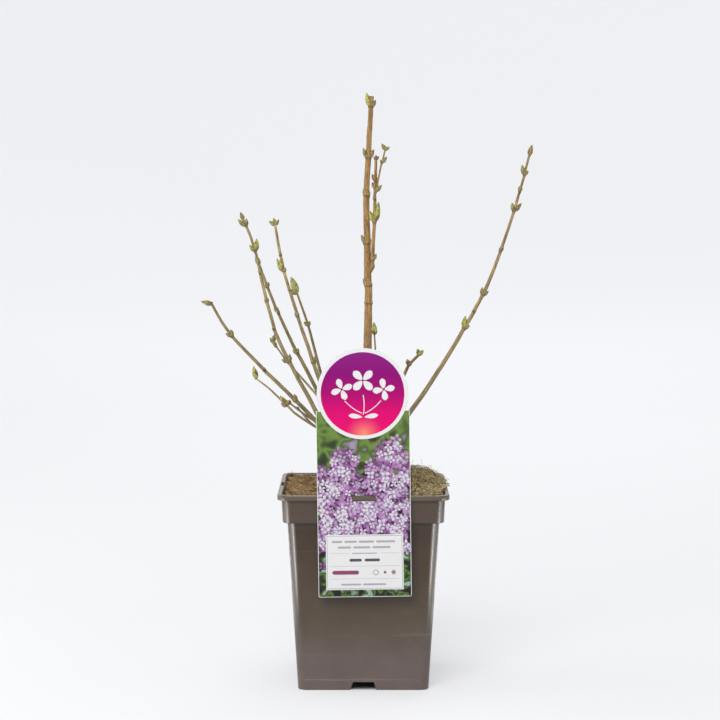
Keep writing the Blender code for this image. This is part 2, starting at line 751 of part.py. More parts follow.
def fork_point(trunk_route, fork, towards, radius):
    """A foot on the trunk's side, square to its heading and clear of the bark by the gap."""
    low, high = 0.0, 1.0
    for _ in range(30):
        middle = (low + high) / 2
        if trunk_route.at(middle).z < fork:
            low = middle
        else:
            high = middle
    axis = trunk_route.at(low)
    trunk_radius = blend(*TRUNK.widths, low) / 2 + trunk_flare(fork - SEAT_LEVEL)
    outward = Vector(towards) - axis
    rise = outward.z / outward.length
    outward.z = 0
    outward.normalize()
    return axis + outward * (trunk_radius + GAP + radius * rise)


def upright_foot(place, radius):
    """The flared foot of a limb that stands on the soil, cut level."""
    return [(place + Vector((0, 0, rise)), radius * swell) for rise, swell in FOOT_RINGS]


def make_limbs(trunk_route):
    for number, limb in enumerate(LIMBS):
        chance = random.Random(LIMB_SEED + number)
        points = list(limb.shoot.route)
        swell = 1.0
        if points[0][2] > SEAT_LEVEL + GAP:
            swell = COLLAR_SWELL
            radius = limb.shoot.widths[0] / 2 * swell
            points[0] = fork_point(trunk_route, points[0][2], points[1], radius)
        route = Route(points)
        cut = limb.bough_share
        rings = limb_rings(route, limb.shoot.widths, 0, cut, (), chance, swell)
        if swell == 1.0:
            rings[:2] = upright_foot(*rings[0])
        keep(tube(limb.bough, rings, 2), "bark")

        rings = limb_rings(route, limb.shoot.widths, cut, 1, node_shares(limb.shoot), chance)
        clear = route.heading(cut) * GAP
        rings[:2] = [(place + clear, radius) for place, radius in rings[:2]]
        stem = tube(limb.mass, rings, 1)
        extras = buds_on(limb.shoot, route, chance)
        for twig in TWIGS:
            if twig.mass == limb.mass:
                leaves_at = blend(cut, 1, twig.leaves_at)
                extras += grow_twig(route.at(leaves_at), twig.shoot, chance)
        join(stem, "UNION", extras)
        keep(stem, "twigs")


def grow_twig(foot, shoot, chance):
    """A side twig from inside its parent stem, with its buds."""
    route = Route([foot, *shoot.route])
    rings = limb_rings(route, shoot.widths, 0, 1, node_shares(shoot), chance)
    return [tube("twig", rings, 1), *buds_on(shoot, route, chance)]


def make_spurs(trunk_route):
    for number, spur in enumerate(SPURS):
        chance = random.Random(SPUR_SEED + number)
        radius = spur.shoot.widths[0] / 2 * COLLAR_SWELL
        foot = fork_point(trunk_route, spur.fork, spur.shoot.route[0], radius)
        route = Route([foot, *spur.shoot.route])
        nodes = node_shares(spur.shoot)
        rings = limb_rings(route, spur.shoot.widths, 0, 1, nodes, chance, COLLAR_SWELL)
        stem = tube(spur.mass, rings, 1)
        extras = buds_on(spur.shoot, route, chance)
        for leaves_at, shoot in spur.twigs:
            extras += grow_twig(route.at(leaves_at), shoot, chance)
        join(stem, "UNION", extras)
        keep(stem, "twigs")


make_pot()
make_root_ball()
make_label()
TRUNK_ROUTE = make_trunk()
make_limbs(TRUNK_ROUTE)
make_spurs(TRUNK_ROUTE)
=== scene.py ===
"""Looks of a potted lilac bush: a bare young shrub with breaking buds, in a square nursery pot.

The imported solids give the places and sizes, in metres with +Z up. The file goes through the plant as
it is put together: pot, root ball, trunk and boughs, twigs, buds, hang label, and then the studio.
"""

import json
import math
import random
from collections import namedtuple

import bmesh
import bpy
from mathutils import Matrix, Vector, noise

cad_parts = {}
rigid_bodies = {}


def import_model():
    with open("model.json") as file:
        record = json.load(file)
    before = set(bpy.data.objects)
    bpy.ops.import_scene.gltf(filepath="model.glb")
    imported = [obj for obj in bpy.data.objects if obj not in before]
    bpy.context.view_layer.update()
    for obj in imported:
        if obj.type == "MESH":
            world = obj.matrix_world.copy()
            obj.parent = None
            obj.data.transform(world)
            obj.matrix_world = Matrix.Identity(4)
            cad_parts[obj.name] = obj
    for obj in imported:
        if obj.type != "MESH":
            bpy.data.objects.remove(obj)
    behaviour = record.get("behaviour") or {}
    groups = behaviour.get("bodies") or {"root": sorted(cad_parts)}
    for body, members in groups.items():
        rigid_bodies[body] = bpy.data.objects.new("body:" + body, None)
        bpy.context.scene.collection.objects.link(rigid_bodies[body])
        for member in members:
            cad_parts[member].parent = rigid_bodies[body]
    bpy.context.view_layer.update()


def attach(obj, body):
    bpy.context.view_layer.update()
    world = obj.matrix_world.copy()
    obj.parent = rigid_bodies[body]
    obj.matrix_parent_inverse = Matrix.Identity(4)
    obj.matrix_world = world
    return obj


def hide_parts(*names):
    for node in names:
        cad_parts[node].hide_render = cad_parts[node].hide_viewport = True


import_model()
MM = 0.001


# Square nursery pot. Polypropylene, injection-moulded in one shot, with a step under its collar, a
# turned-down lip slotted for a label on each side, and a foot with four drain notches and a centre pad.
POT_HEIGHT = 0.210
COLLAR_FOOT = 0.180
LIP_FOOT = 0.2045
BODY_HALVES = (0.0692, 0.0798)
COLLAR_HALVES = (0.0845, 0.0855)
LIP_HALF = 0.090
SKIRT_HALF = 0.0885
FLANGE_UNDERSIDE = 0.2085
POT_WALL = 0.0015
LIP_BEVEL = 0.0022
FLOOR_UNDERSIDE = 0.009
FLOOR_TOP = 0.0108
SOIL_LEDGE = 0.1815
CORNER = 0.010
LIP_CORNER = 0.012
EDGE = 0.0005
FOOT_LINE = 0.0112
FOOT_LINE_DEPTH = 0.0003
SIDE_STEPS = 6
ARC_STEPS = 10
NOTCH_FOOT_HALF = 0.014
NOTCH_TOP_HALF = 0.011
NOTCH_HEIGHT = 0.0087
NOTCH_SPAN = (-0.004, 0.006)
PAD_RADIUS = 0.012
PAD_SIDES = 48
DRAIN_RADIUS = 0.0045
DRAIN_SIDES = 24
DRAIN_OFFSET = 0.0425
SLOT_LENGTH = 0.028
SLOT_WIDTH = 0.0028
RIB_THICKNESS = 0.0012
QUARTER_TURNS = [Matrix.Rotation(turn * math.pi / 2, 4, "Z") for turn in range(4)]


def linear(hex_colour):
    """An sRGB hex colour as linear RGBA."""
    shares = [int(hex_colour[at:at + 2], 16) / 255 for at in (1, 3, 5)]
    return (*[s / 12.92 if s <= 0.04045 else ((s + 0.055) / 1.055) ** 2.4 for s in shares], 1)


def add_node(tree, kind, settings=None):
    """Add one node and set its properties, ramp stops and inputs, by a value, a colour or a link."""
    node = tree.nodes.new(kind)
    for name, value in (settings or {}).items():
        if isinstance(value, bpy.types.NodeSocket):
            tree.links.new(value, node.inputs[name])
        elif name == "stops":
            stops = node.color_ramp.elements
            while len(stops) < len(value):
                stops.new(1)
            for stop, (place, colour) in zip(stops, value):
                stop.position = place
                stop.color = linear(colour) if isinstance(colour, str) else (colour, colour, colour, 1)
        elif isinstance(name, str) and hasattr(node, name):
            setattr(node, name, value)
        else:
            node.inputs[name].default_value = linear(value) if isinstance(value, str) else value
    return node


class Finish:
    """A Principled material, and short ways to add the nodes that its look is built up from."""

    def __init__(self, name, settings):
        self.material = bpy.data.materials.new(name)
        self.material.use_nodes = True
        self.tree = self.material.node_tree
        self.shader = self.tree.nodes["Principled BSDF"]
        for socket, value in settings.items():
            self.shader.inputs[socket].default_value = linear(value) if isinstance(value, str) else value
        self.place = self.node("TexCoord", {}).outputs["Object"]

    def node(self, kind, settings):
        return add_node(self.tree, "ShaderNode" + kind, settings)

    def along(self, axis, place=None):
        return self.node("SeparateXYZ", {0: place or self.place}).outputs[axis]

    def noise(self, grain, detail, place=None, **more):
        """A cloudy pattern whose spots measure about the given grain in metres."""
        return self.node("TexNoise", {"Scale": 1 / grain, "Detail": detail, "Vector": place or self.place,
                                      **more}).outputs["Fac"]

    def stretched(self, scale, place=None):
        return self.node("Mapping", {"Scale": scale, "Vector": place or self.place}).outputs[0]

    def ramp(self, source, *stops):
        return self.node("ValToRGB", {"stops": stops, "Fac": source}).outputs[0]

    def spread(self, source, low, high, start=0, end=1):
        """A value that runs from start to end while the source runs from low to high."""
        return self.node("MapRange", {"From Min": low, "From Max": high, "To Min": start, "To Max": end,
                                      "Value": source}).outputs[0]

    def reckon(self, operation, first, second):
        return self.node("Math", {"operation": operation, 0: first, 1: second}).outputs[0]

    def mix(self, share, under, over, kind="MIX"):
        return self.node("Mix", {"data_type": "RGBA", "blend_type": kind, 0: share, 6: under,
                                 7: over}).outputs[2]

    def bump(self, source, strength, depth):
        return self.node("Bump", {"Strength": strength, "Distance": depth, "Height": source}).outputs[0]

    def done(self, colour, normal=None, roughness=None, glow=None):
        """Link the results to the shader, and give the material."""
        for socket, source in (("Base Color", colour), ("Normal", normal), ("Roughness", roughness),
                               ("Emission Strength", glow)):
            if source is not None:
                self.tree.links.new(source, self.shader.inputs[socket])
        return self.material


def smooth_shading(mesh, below):
    """Shade smooth all over, but for edges that are sharper than the given degrees."""
    mesh.polygons.foreach_set("use_smooth", [True] * len(mesh.polygons))
    mesh.set_sharp_from_angle(angle=math.radians(below))


def new_piece(name, fill, materials, smooth_below=None):
    """A closed mesh object that the fill function draws, with outward faces and its materials."""
    form = bmesh.new()
    fill(form)
    bmesh.ops.recalc_face_normals(form, faces=form.faces)
    mesh = bpy.data.meshes.new(name)
    form.to_mesh(mesh)
    form.free()
    for material in materials:
        mesh.materials.append(material)
    if smooth_below is not None:
        smooth_shading(mesh, smooth_below)
    made = bpy.data.objects.new(name, mesh)
    bpy.context.scene.collection.objects.link(made)
    return made


def belongs(piece, node=None):
    """Every piece moves with the one body, and may take the place of a node."""
    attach(piece, "root")
    if node:
        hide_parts(node)


def apply_modifiers(piece):
    """Bake a piece's modifiers into its mesh and remove them."""
    graph = bpy.context.evaluated_depsgraph_get()
    mesh = bpy.data.meshes.new_from_object(piece.evaluated_get(graph))
    piece.modifiers.clear()
    old = piece.data
    piece.data = mesh
    mesh.name = old.name
    bpy.data.meshes.remove(old)


def blend(low, high, share):
    return low + (high - low) * share


def body_half(height):
    return blend(*BODY_HALVES, height / COLLAR_FOOT)


def collar_half(height):
    return blend(*COLLAR_HALVES, (height - COLLAR_FOOT) / (LIP_FOOT - COLLAR_FOOT))


def square_ring(half, height, corner):
    """The points of a square with round corners, in order round it."""
    inner = half - corner
    quarter = [(half, blend(-inner, inner, step / SIDE_STEPS)) for step in range(SIDE_STEPS)]
    for step in range(ARC_STEPS):
        angle = step / ARC_STEPS * math.pi / 2
        quarter.append((inner + corner * math.cos(angle), inner + corner * math.sin(angle)))
    ring = []
    for turn in range(4):
        swing = Matrix.Rotation(turn * math.pi / 2, 2)
        ring += [(*(swing @ Vector(point)), height) for point in quarter]
    return ring


def skin(form, rows):
    """Join rows of equal count with quads, each row closed on itself."""
    for low, high in zip(rows, rows[1:]):
        for at in range(len(low)):
            after = (at + 1) % len(low)
            form.faces.new((low[at], low[after], high[after], high[at]))


def loft(form, rings):
    """Join rings of points with quads and close both ends."""
    rows = [[form.verts.new(point) for point in ring] for ring in rings]
    skin(form, rows)
    form.faces.new(list(reversed(rows[0])))
    form.faces.new(rows[-1])
    return rows


def draw_pot(form):
    """The pot from its section: up the outside from the floor, over the lip and down the inside."""
    foot, line = body_half(0), body_half(FOOT_LINE)
    below, above = body_half(COLLAR_FOOT), collar_half(COLLAR_FOOT)
    top = collar_half(LIP_FOOT)
    mouth = top - POT_WALL
    ledge_out, ledge_in = collar_half(SOIL_LEDGE) - POT_WALL, body_half(SOIL_LEDGE) - POT_WALL
    floor = body_half(FLOOR_TOP) - POT_WALL
    recess = foot - POT_WALL
    inner = CORNER - POT_WALL
    skirt_corner = LIP_CORNER - POT_WALL
    profile = [
        (body_half(FLOOR_UNDERSIDE) - POT_WALL, FLOOR_UNDERSIDE, inner),
        (recess, EDGE, inner), (recess + EDGE, 0, inner + EDGE),
        (foot - EDGE, 0, CORNER - EDGE), (foot, EDGE, CORNER),
        (line, FOOT_LINE - EDGE, CORNER), (line - FOOT_LINE_DEPTH, FOOT_LINE, CORNER),
        (line, FOOT_LINE + EDGE, CORNER),
        (below - EDGE / 4, COLLAR_FOOT - EDGE, CORNER), (below + EDGE, COLLAR_FOOT, CORNER + EDGE),
        (above - EDGE, COLLAR_FOOT, CORNER - EDGE), (above, COLLAR_FOOT + EDGE, CORNER),
        (top, LIP_FOOT, CORNER), (top, FLANGE_UNDERSIDE - EDGE, CORNER),
        (top + EDGE, FLANGE_UNDERSIDE, CORNER + EDGE),
        (SKIRT_HALF - EDGE, FLANGE_UNDERSIDE, skirt_corner - EDGE),
        (SKIRT_HALF, FLANGE_UNDERSIDE - EDGE, skirt_corner),
        (SKIRT_HALF, LIP_FOOT + EDGE, skirt_corner),
        (SKIRT_HALF + EDGE, LIP_FOOT, skirt_corner + EDGE),
        (LIP_HALF - EDGE, LIP_FOOT, LIP_CORNER - EDGE), (LIP_HALF, LIP_FOOT + EDGE, LIP_CORNER),
        (LIP_HALF, POT_HEIGHT - 2 * EDGE, LIP_CORNER),
        (LIP_HALF - EDGE * 0.6, POT_HEIGHT - EDGE * 0.6, LIP_CORNER - EDGE * 0.6),
        (LIP_HALF - 2 * EDGE, POT_HEIGHT, LIP_CORNER - 2 * EDGE),
        (mouth + LIP_BEVEL, POT_HEIGHT, inner + LIP_BEVEL),
        (mouth + LIP_BEVEL * 0.85, POT_HEIGHT - EDGE / 2, inner + LIP_BEVEL * 0.85),
        (mouth, POT_HEIGHT - LIP_BEVEL, inner),
        (ledge_out, SOIL_LEDGE + EDGE, inner), (ledge_out - EDGE, SOIL_LEDGE, inner - EDGE),
        (ledge_in + EDGE, SOIL_LEDGE, inner + EDGE), (ledge_in, SOIL_LEDGE - EDGE, inner),
        (floor, FLOOR_TOP + EDGE, inner), (floor - EDGE, FLOOR_TOP, inner - EDGE),
    ]
    loft(form, [square_ring(half, height, corner) for half, height, corner in profile])


def disc(form, sides, radius, middle, height):
    bmesh.ops.create_cone(form, cap_ends=True, segments=sides, radius1=radius, radius2=radius, depth=height,
                          matrix=Matrix.Translation(middle))


def block(form, swing, middle, size):
    stretch = Matrix.Diagonal((*size, 1))
    bmesh.ops.create_cube(form, size=1, matrix=swing @ Matrix.Translation(middle) @ stretch)


SLOT_MIDDLE = -(collar_half(LIP_FOOT) + SKIRT_HALF) / 2


def draw_pot_cuts(form):
    """The four drain notches, the four lip slots and the eight drain holes."""
    low_half = NOTCH_FOOT_HALF * 2 - NOTCH_TOP_HALF
    slot = (SLOT_LENGTH, SLOT_WIDTH, 2 * (POT_HEIGHT - LIP_FOOT))
    for swing in QUARTER_TURNS:
        notch = []
        for past in NOTCH_SPAN:
            notch.append([swing @ Vector((x, -body_half(0) + past, z)) for x, z in (
                (-low_half, -NOTCH_HEIGHT), (low_half, -NOTCH_HEIGHT),
                (NOTCH_TOP_HALF, NOTCH_HEIGHT), (-NOTCH_TOP_HALF, NOTCH_HEIGHT))])
        loft(form, notch)
        block(form, swing, (0, SLOT_MIDDLE, POT_HEIGHT), slot)
    for x in (-DRAIN_OFFSET, 0, DRAIN_OFFSET):
        for y in (-DRAIN_OFFSET, 0, DRAIN_OFFSET):
            if (x, y) != (0, 0):
                disc(form, DRAIN_SIDES, DRAIN_RADIUS, (x, y, (FLOOR_UNDERSIDE + FLOOR_TOP) / 2), 4 * POT_WALL)


def draw_pad_and_ribs(form):
    """The centre pad under the floor, and the small ribs under the lip at both ends of its slots."""
    pad_height = FLOOR_UNDERSIDE + POT_WALL / 2
    disc(form, PAD_SIDES, PAD_RADIUS, (0, 0, pad_height / 2), pad_height)
    rib = (RIB_THICKNESS, SKIRT_HALF - collar_half(LIP_FOOT) + POT_WALL / 2, (POT_HEIGHT - LIP_FOOT) * 0.8)
    for swing in QUARTER_TURNS:
        for aside in (-SLOT_LENGTH / 2 - RIB_THICKNESS, SLOT_LENGTH / 2 + RIB_THICKNESS):
            block(form, swing, (aside, SLOT_MIDDLE, (LIP_FOOT + POT_HEIGHT) / 2), rib)


def combine(piece, other, operation):
    """Unite or cut a piece with another by an exact Boolean, and remove the other."""
    boolean = piece.modifiers.new(operation.lower(), "BOOLEAN")
    boolean.operation = operation
    boolean.solver = "EXACT"
    boolean.object = other
    apply_modifiers(piece)
    bpy.data.objects.remove(other, do_unlink=True)


# Satin moulded polypropylene, pigmented taupe. The mould leaves a faint orange-peel skin of about a
# millimetre, and handling leaves dull cloudy patches and pale level scuffs low on the sides.
finish = Finish("moulded_polypropylene", {"IOR": 1.49, "Specular IOR Level": 0.36})
up = finish.spread(finish.along("Z"), 0, POT_HEIGHT)
# The base colour carries painted shade and light. It darkens up the body into painted shade just under the
# collar's step, grows paler towards the foot as painted light bounced off the floor, and is paler again on
# the lip face as a painted highlight.
painted_shade_body_colour = finish.ramp(up, (0.0, "#574c47"), (0.15, "#544945"), (0.36, "#453b30"), (0.62, "#3c3025"),
                          (0.82, "#33261b"), (0.87, "#41352d"), (0.95, "#41352d"), (0.98, "#4d4137"))
clouds = finish.noise(0.035, 4, Roughness=0.6)
clouded = finish.mix(0.22, painted_shade_body_colour, clouds, "OVERLAY")
streaks = finish.noise(1, 3, finish.stretched((9, 9, 420)))
scuffs = finish.ramp(streaks, (0.60, 0.0), (0.72, 1.0))
band = finish.ramp(up, (0.034, 0.25), (0.047, 0.75), (0.06, 0.15), (0.19, 0.10), (0.26, 0.45), (0.33, 0.05))
patchy = finish.reckon("MULTIPLY", band, finish.noise(0.02, 2))
scuffed = finish.mix(finish.reckon("MULTIPLY", scuffs, patchy), clouded, "#877f78")
POLYPROPYLENE = finish.done(scuffed, finish.bump(finish.noise(0.0012, 2), 0.10, 0.0002),
                            finish.spread(clouds, 0, 1, 0.17, 0.27))

pot = new_piece("nursery_pot", draw_pot, [POLYPROPYLENE])
combine(pot, new_piece("pot_cuts", draw_pot_cuts, []), "DIFFERENCE")
combine(pot, new_piece("pot_pad", draw_pad_and_ribs, []), "UNION")
smooth_shading(pot.data, 50)
weighted = pot.modifiers.new("even_shading", "WEIGHTED_NORMAL")
weighted.keep_sharp = True
apply_modifiers(pot)
belongs(pot, "pot")


# Root ball. Moist peat under a mat of coarse brown coir on the left, and a mound of dried, curly
# roots that stands up over the rim on the right. It fills the pot and grips it only by friction.
SOIL_LEVEL = 0.2045
MOUND_RISE = 0.0165
MOUND_MIDDLE = (0.054, 0.004)
MOUND_REACH = (0.036, 0.062)
SEAT_LEVEL = 0.2070
SEAT_RADIUS = 0.022
SEAT_BLEND = 0.014
SEAT_CRUMB_SHARE = 0.35
SOIL_STEPS = 90
SOIL_CLEAR = 0.0003
FIBRE_CLEAR = 0.0004
CRUMB = 0.0011
CRUMB_SPANS = (0.011, 0.0042)
SMALL_CRUMB_SHARE = 0.7


def mound(x, y):
    across = (x - MOUND_MIDDLE[0]) / MOUND_REACH[0]
    along = (y - MOUND_MIDDLE[1]) / MOUND_REACH[1]
    return MOUND_RISE * math.exp(-(across * across + along * along))


def smooth_step(share):
    return share * share * (3 - 2 * share)


def soil_height(x, y):
    """The lie of the compost: low on the left, a mound on the right, a flat seat for the stems."""
    large, small = (noise.noise(Vector((x, y, shift)) / span) for shift, span in zip((0, 3), CRUMB_SPANS))
    crumbs = CRUMB * (large + SMALL_CRUMB_SHARE * small)
    seat = smooth_step(min(max((math.hypot(x, y) - SEAT_RADIUS) / SEAT_BLEND, 0), 1))
    return blend(SEAT_LEVEL, SOIL_LEVEL + mound(x, y), seat) + crumbs * blend(SEAT_CRUMB_SHARE, 1, seat)


def on_round_square(x, y, half, corner):
    """Pull a point of a square in to the square with round corners."""
    inner = half - corner
    past_x = max(abs(x) - inner, 0)
    past_y = max(abs(y) - inner, 0)
    if past_x and past_y:
        shrink = max(past_x, past_y) / math.hypot(past_x, past_y)
        x = math.copysign(inner + past_x * shrink, x)
        y = math.copysign(inner + past_y * shrink, y)
    return x, y


def draw_soil_top(form, wanted=None):
    """The top of the root ball as a sheet, over all of it or only where it is wanted."""
    half = collar_half(SOIL_LEVEL) - POT_WALL - SOIL_CLEAR
    bmesh.ops.create_grid(form, x_segments=SOIL_STEPS, y_segments=SOIL_STEPS, size=half)
    for vertex in form.verts:
        x, y = on_round_square(vertex.co.x, vertex.co.y, half, CORNER - POT_WALL)
        vertex.co = (x, y, soil_height(x, y))
    if wanted:
        spare = [v for v in form.verts if not wanted(v.co.x, v.co.y)]
        bmesh.ops.delete(form, geom=spare, context="VERTS")


def draw_root_ball(form):
    """The whole ball: its top, then its sides down over the ledge to the pot's floor."""
    draw_soil_top(form)
    rim = [e for e in form.edges if e.is_boundary]
    for half, level in ((collar_half(SOIL_LEDGE), SOIL_LEDGE), (body_half(SOIL_LEDGE), SOIL_LEDGE),
                        (body_half(FLOOR_TOP), FLOOR_TOP)):
        made = bmesh.ops.extrude_edge_only(form, edges=rim)["geom"]
        rim = [g for g in made if isinstance(g, bmesh.types.BMEdge)]
        ring = {v for e in rim for v in e.verts}
        outermost = max(abs(v.co.x) for v in ring)
        for vertex in ring:
            shrink = (half - POT_WALL - SOIL_CLEAR) / outermost
            vertex.co = (vertex.co.x * shrink, vertex.co.y * shrink, level + SOIL_CLEAR)
    bmesh.ops.contextual_create(form, geom=rim)


# Moist peat between the fibres: near black-brown, dead matt, with crumbs of a few millimetres.
finish = Finish("moist_peat", {"Roughness": 0.95, "Specular IOR Level": 0.2})
crumbs = finish.noise(0.003, 5, Roughness=0.7)
PEAT = finish.done(finish.ramp(crumbs, (0.3, "#150e09"), (0.55, "#2f2216"), (0.75, "#4e3e23")),
                   finish.bump(crumbs, 0.8, 0.0008))
root_ball = new_piece("compost", draw_root_ball, [PEAT], smooth_below=60)
belongs(root_ball, "root_ball")


def fibre_material(name, dark, light, grain):
    """Dry plant fibre: matt, and paler and darker along its run over the given grain in metres."""
    finish = Finish(name, {"Roughness": 0.85, "Specular IOR Level": 0.25})
    return finish.done(finish.ramp(finish.noise(grain, 3), (0.36, dark), (0.64, light)))


# Coconut coir is a stiff brown husk fibre, and the mound's dried roots have bleached to a grey straw.
# Both are 0.2 to 0.5 mm thick. They are drawn up to about twice as thick, so that they show.
COIR = [fibre_material(name, dark, light, 0.006) for name, dark, light in (
    ("dark_coir", "#43311d", "#664e2d"), ("coir", "#745836", "#93764b"),
    ("light_coir", "#8b724e", "#aa9470"))]
DRY_ROOTS = [fibre_material(name, dark, light, 0.005) for name, dark, light in (
    ("dark_dry_root", "#483a22", "#6a5937"), ("dry_root", "#8b7850", "#a8966a"),
    ("bleached_dry_root", "#ac9c76", "#c8b995"))]

FIBRE_POINTS = 8
THIN_END = 0.12
THREE_SIDES = (0.5, 2.6, 4.7)


def draw_strand(form, spots, width):
    """A three-sided strand through the spots, thin at both ends."""
    rings = []
    last = len(spots) - 1
    for at, spot in enumerate(spots):
        radius = width / 2 * math.sin(math.pi * (THIN_END + (1 - 2 * THIN_END) * at / last))
        ahead = (spots[min(at + 1, last)] - spots[max(at - 1, 0)]).normalized()
        side = ahead.orthogonal().normalized()
        over = ahead.cross(side)
        rings.append([spot + (side * math.cos(a) + over * math.sin(a)) * radius for a in THREE_SIDES])
    loft(form, rings)


def draw_fibre(form, length, width, wander, arch, seed):
    """One loose fibre, lying along X: it wanders in its plane and arches up out of it."""
    chance = random.Random(seed)
    heading = chance.uniform(-0.5, 0.5)
    drift = chance.choice((-1, 1)) * wander
    spot = Vector((-length / 2, 0, 0))
    spots = []
    runs = FIBRE_POINTS - 1
    for step in range(FIBRE_POINTS):
        spots.append(spot + Vector((0, 0, arch * length * math.sin(math.pi * step / runs))))
        heading += drift * chance.uniform(0.2, 1.2) + chance.uniform(-0.3, 0.3)
        spot = spot + Vector((math.cos(heading), math.sin(heading), 0)) * length / runs
    draw_strand(form, spots, width)


def fibre_tree(name):
    """Nodes that lay fibres at random on a sheet, flat to it, and realize them."""
    tree = bpy.data.node_groups.new(name, "GeometryNodeTree")
    for socket, kind in (("Sheet", "Geometry"), ("Fibres", "Collection"), ("Per square metre", "Float"),
                         ("Smallest", "Float"), ("Largest", "Float"), ("Tilt", "Float"), ("Lift", "Float"),
                         ("Seed", "Int"), ("Finish", "Material")):
        tree.interface.new_socket(name=socket, in_out="INPUT", socket_type="NodeSocket" + kind)
    tree.interface.new_socket(name="Laid", in_out="OUTPUT", socket_type="NodeSocketGeometry")
    given = add_node(tree, "NodeGroupInput").outputs

    def chosen(low, high):
        """A value by chance for each fibre between two values or sockets."""
        return add_node(tree, "FunctionNodeRandomValue", {"data_type": "FLOAT", 2: low, 3: high,
                                                          "Seed": given["Seed"]}).outputs[1]

    spots = add_node(tree, "GeometryNodeDistributePointsOnFaces", {
        "Mesh": given["Sheet"], "Density": given["Per square metre"], "Seed": given["Seed"]}).outputs
    lowest = add_node(tree, "ShaderNodeMath", {"operation": "MULTIPLY", 0: given["Tilt"], 1: -1.0})
    way = add_node(tree, "ShaderNodeCombineXYZ", {
        "X": chosen(lowest.outputs[0], given["Tilt"]), "Z": chosen(0, math.tau)})
    spin = add_node(tree, "FunctionNodeEulerToRotation", {0: way.outputs[0]})
    facing = add_node(tree, "FunctionNodeRotateRotation", {
        "rotation_space": "LOCAL", "Rotation": spots["Rotation"], "Rotate By": spin.outputs[0]})
    kinds = add_node(tree, "GeometryNodeCollectionInfo", {
        "Separate Children": True, "Reset Children": True, "Collection": given["Fibres"]})
    raised = add_node(tree, "ShaderNodeVectorMath", {
        "operation": "SCALE", 0: spots["Normal"], "Scale": given["Lift"]})
    moved = add_node(tree, "GeometryNodeSetPosition", {
        "Geometry": spots["Points"], "Offset": raised.outputs[0]})
    laid = add_node(tree, "GeometryNodeInstanceOnPoints", {
        "Pick Instance": True, "Points": moved.outputs[0], "Instance": kinds.outputs[0],
        "Rotation": facing.outputs[0], "Scale": chosen(given["Smallest"], given["Largest"])})
    real = add_node(tree, "GeometryNodeRealizeInstances", {0: laid.outputs[0]})
    finished = add_node(tree, "GeometryNodeSetMaterial", {
        "Geometry": real.outputs[0], "Material": given["Finish"]})
    add_node(tree, "NodeGroupOutput", {0: finished.outputs[0]})
    return tree


def run_nodes(piece, tree, values):
    """Set a tree's inputs by their identifiers, then keep the result as the piece's plain mesh."""
    modifier = piece.modifiers.new(tree.name, "NODES")
    modifier.node_group = tree
    for item in tree.interface.items_tree:
        if item.in_out == "INPUT" and item.name in values:
            modifier[item.identifier] = values[item.name]
    apply_modifiers(piece)


def hidden_collection(name, makers):
    """A collection of shapes that only Geometry Nodes use, in the order of their names."""
    holder = bpy.data.collections.new(name)
    for number, fill in enumerate(makers):
        shape = new_piece(f"{name}_{number:02d}", fill, [])
        bpy.context.scene.collection.objects.unlink(shape)
        holder.objects.link(shape)
    return holder


def drop_collection(holder):
    for shape in list(holder.objects):
        bpy.data.objects.remove(shape, do_unlink=True)
    bpy.data.collections.remove(holder)


def keep_inside_pot(piece, free_above):
    """Press what would pass through the collar, or over the lip, flat against the inside."""
    wall = collar_half(SOIL_LEVEL) - POT_WALL - FIBRE_CLEAR
    for vertex in piece.data.vertices:
        if vertex.co.z < free_above:
            x, y = (min(max(part, -wall), wall) for part in vertex.co[:2])
            vertex.co.x, vertex.co.y = on_round_square(x, y, wall, CORNER - POT_WALL)


LAY_FIBRES = fibre_tree("lay_fibres")
FIBRE_SHAPES = 9
FIBRE_LIFT = 0.0004
TONE_LIFT = 0.0003


def fibre_shapes(name, length, width, wander, arch, arch_step, seed):
    """Several fibres of one kind, whose arch takes turns between three heights."""
    return hidden_collection(name, [
        lambda form, n=n: draw_fibre(form, length, width, wander, arch + arch_step * (n % 3), seed + n)
        for n in range(FIBRE_SHAPES)])


def lay(name, wanted, shapes, values, finishes, free_above):
    """A mat of fibres on the wanted part of the root ball's top, one piece for each tone."""
    for number, (density, finish) in enumerate(finishes):
        mat = new_piece(f"{name}_{number}", lambda form: draw_soil_top(form, wanted), [])
        if mat.data.polygons[0].normal.z < 0:
            mat.data.flip_normals()
        run_nodes(mat, LAY_FIBRES, {
            **values, "Per square metre": density, "Lift": FIBRE_LIFT + TONE_LIFT * number,
            "Seed": values["Seed"] + number, "Fibres": shapes, "Finish": finish})
        keep_inside_pot(mat, free_above)
        mat.data.polygons.foreach_set("use_smooth", [True] * len(mat.data.polygons))
        belongs(mat)
    drop_collection(shapes)


COIR_SHAPES = fibre_shapes("coir_fibre", 0.017, 0.0006, 0.22, 0.02, 0.03, 100)
ROOT_SHAPES = fibre_shapes("dry_root", 0.015, 0.00055, 0.62, 0.06, 0.05, 200)
lay("coir_mat", lambda x, y: mound(x, y) < 0.010 and x < 0.055, COIR_SHAPES,
    {"Smallest": 0.6, "Largest": 1.15, "Tilt": 0.30, "Seed": 5},
    zip((110000.0, 120000.0, 80000.0), COIR), POT_HEIGHT + 0.008)
lay("dry_root_mound", lambda x, y: mound(x, y) > 0.004 or x > 0.050, ROOT_SHAPES,
    {"Smallest": 0.55, "Largest": 1.2, "Tilt": 0.5, "Seed": 8},
    zip((150000.0, 170000.0, 140000.0), DRY_ROOTS), POT_HEIGHT + 0.0015)

HAIRS = 30
HAIR_SEED = 17
HAIR_LENGTHS = (0.009, 0.027)
HAIR_WIDTH = 0.0003
HAIR_RUNS = 7
RIM_HAIR = (-0.082, -0.03)


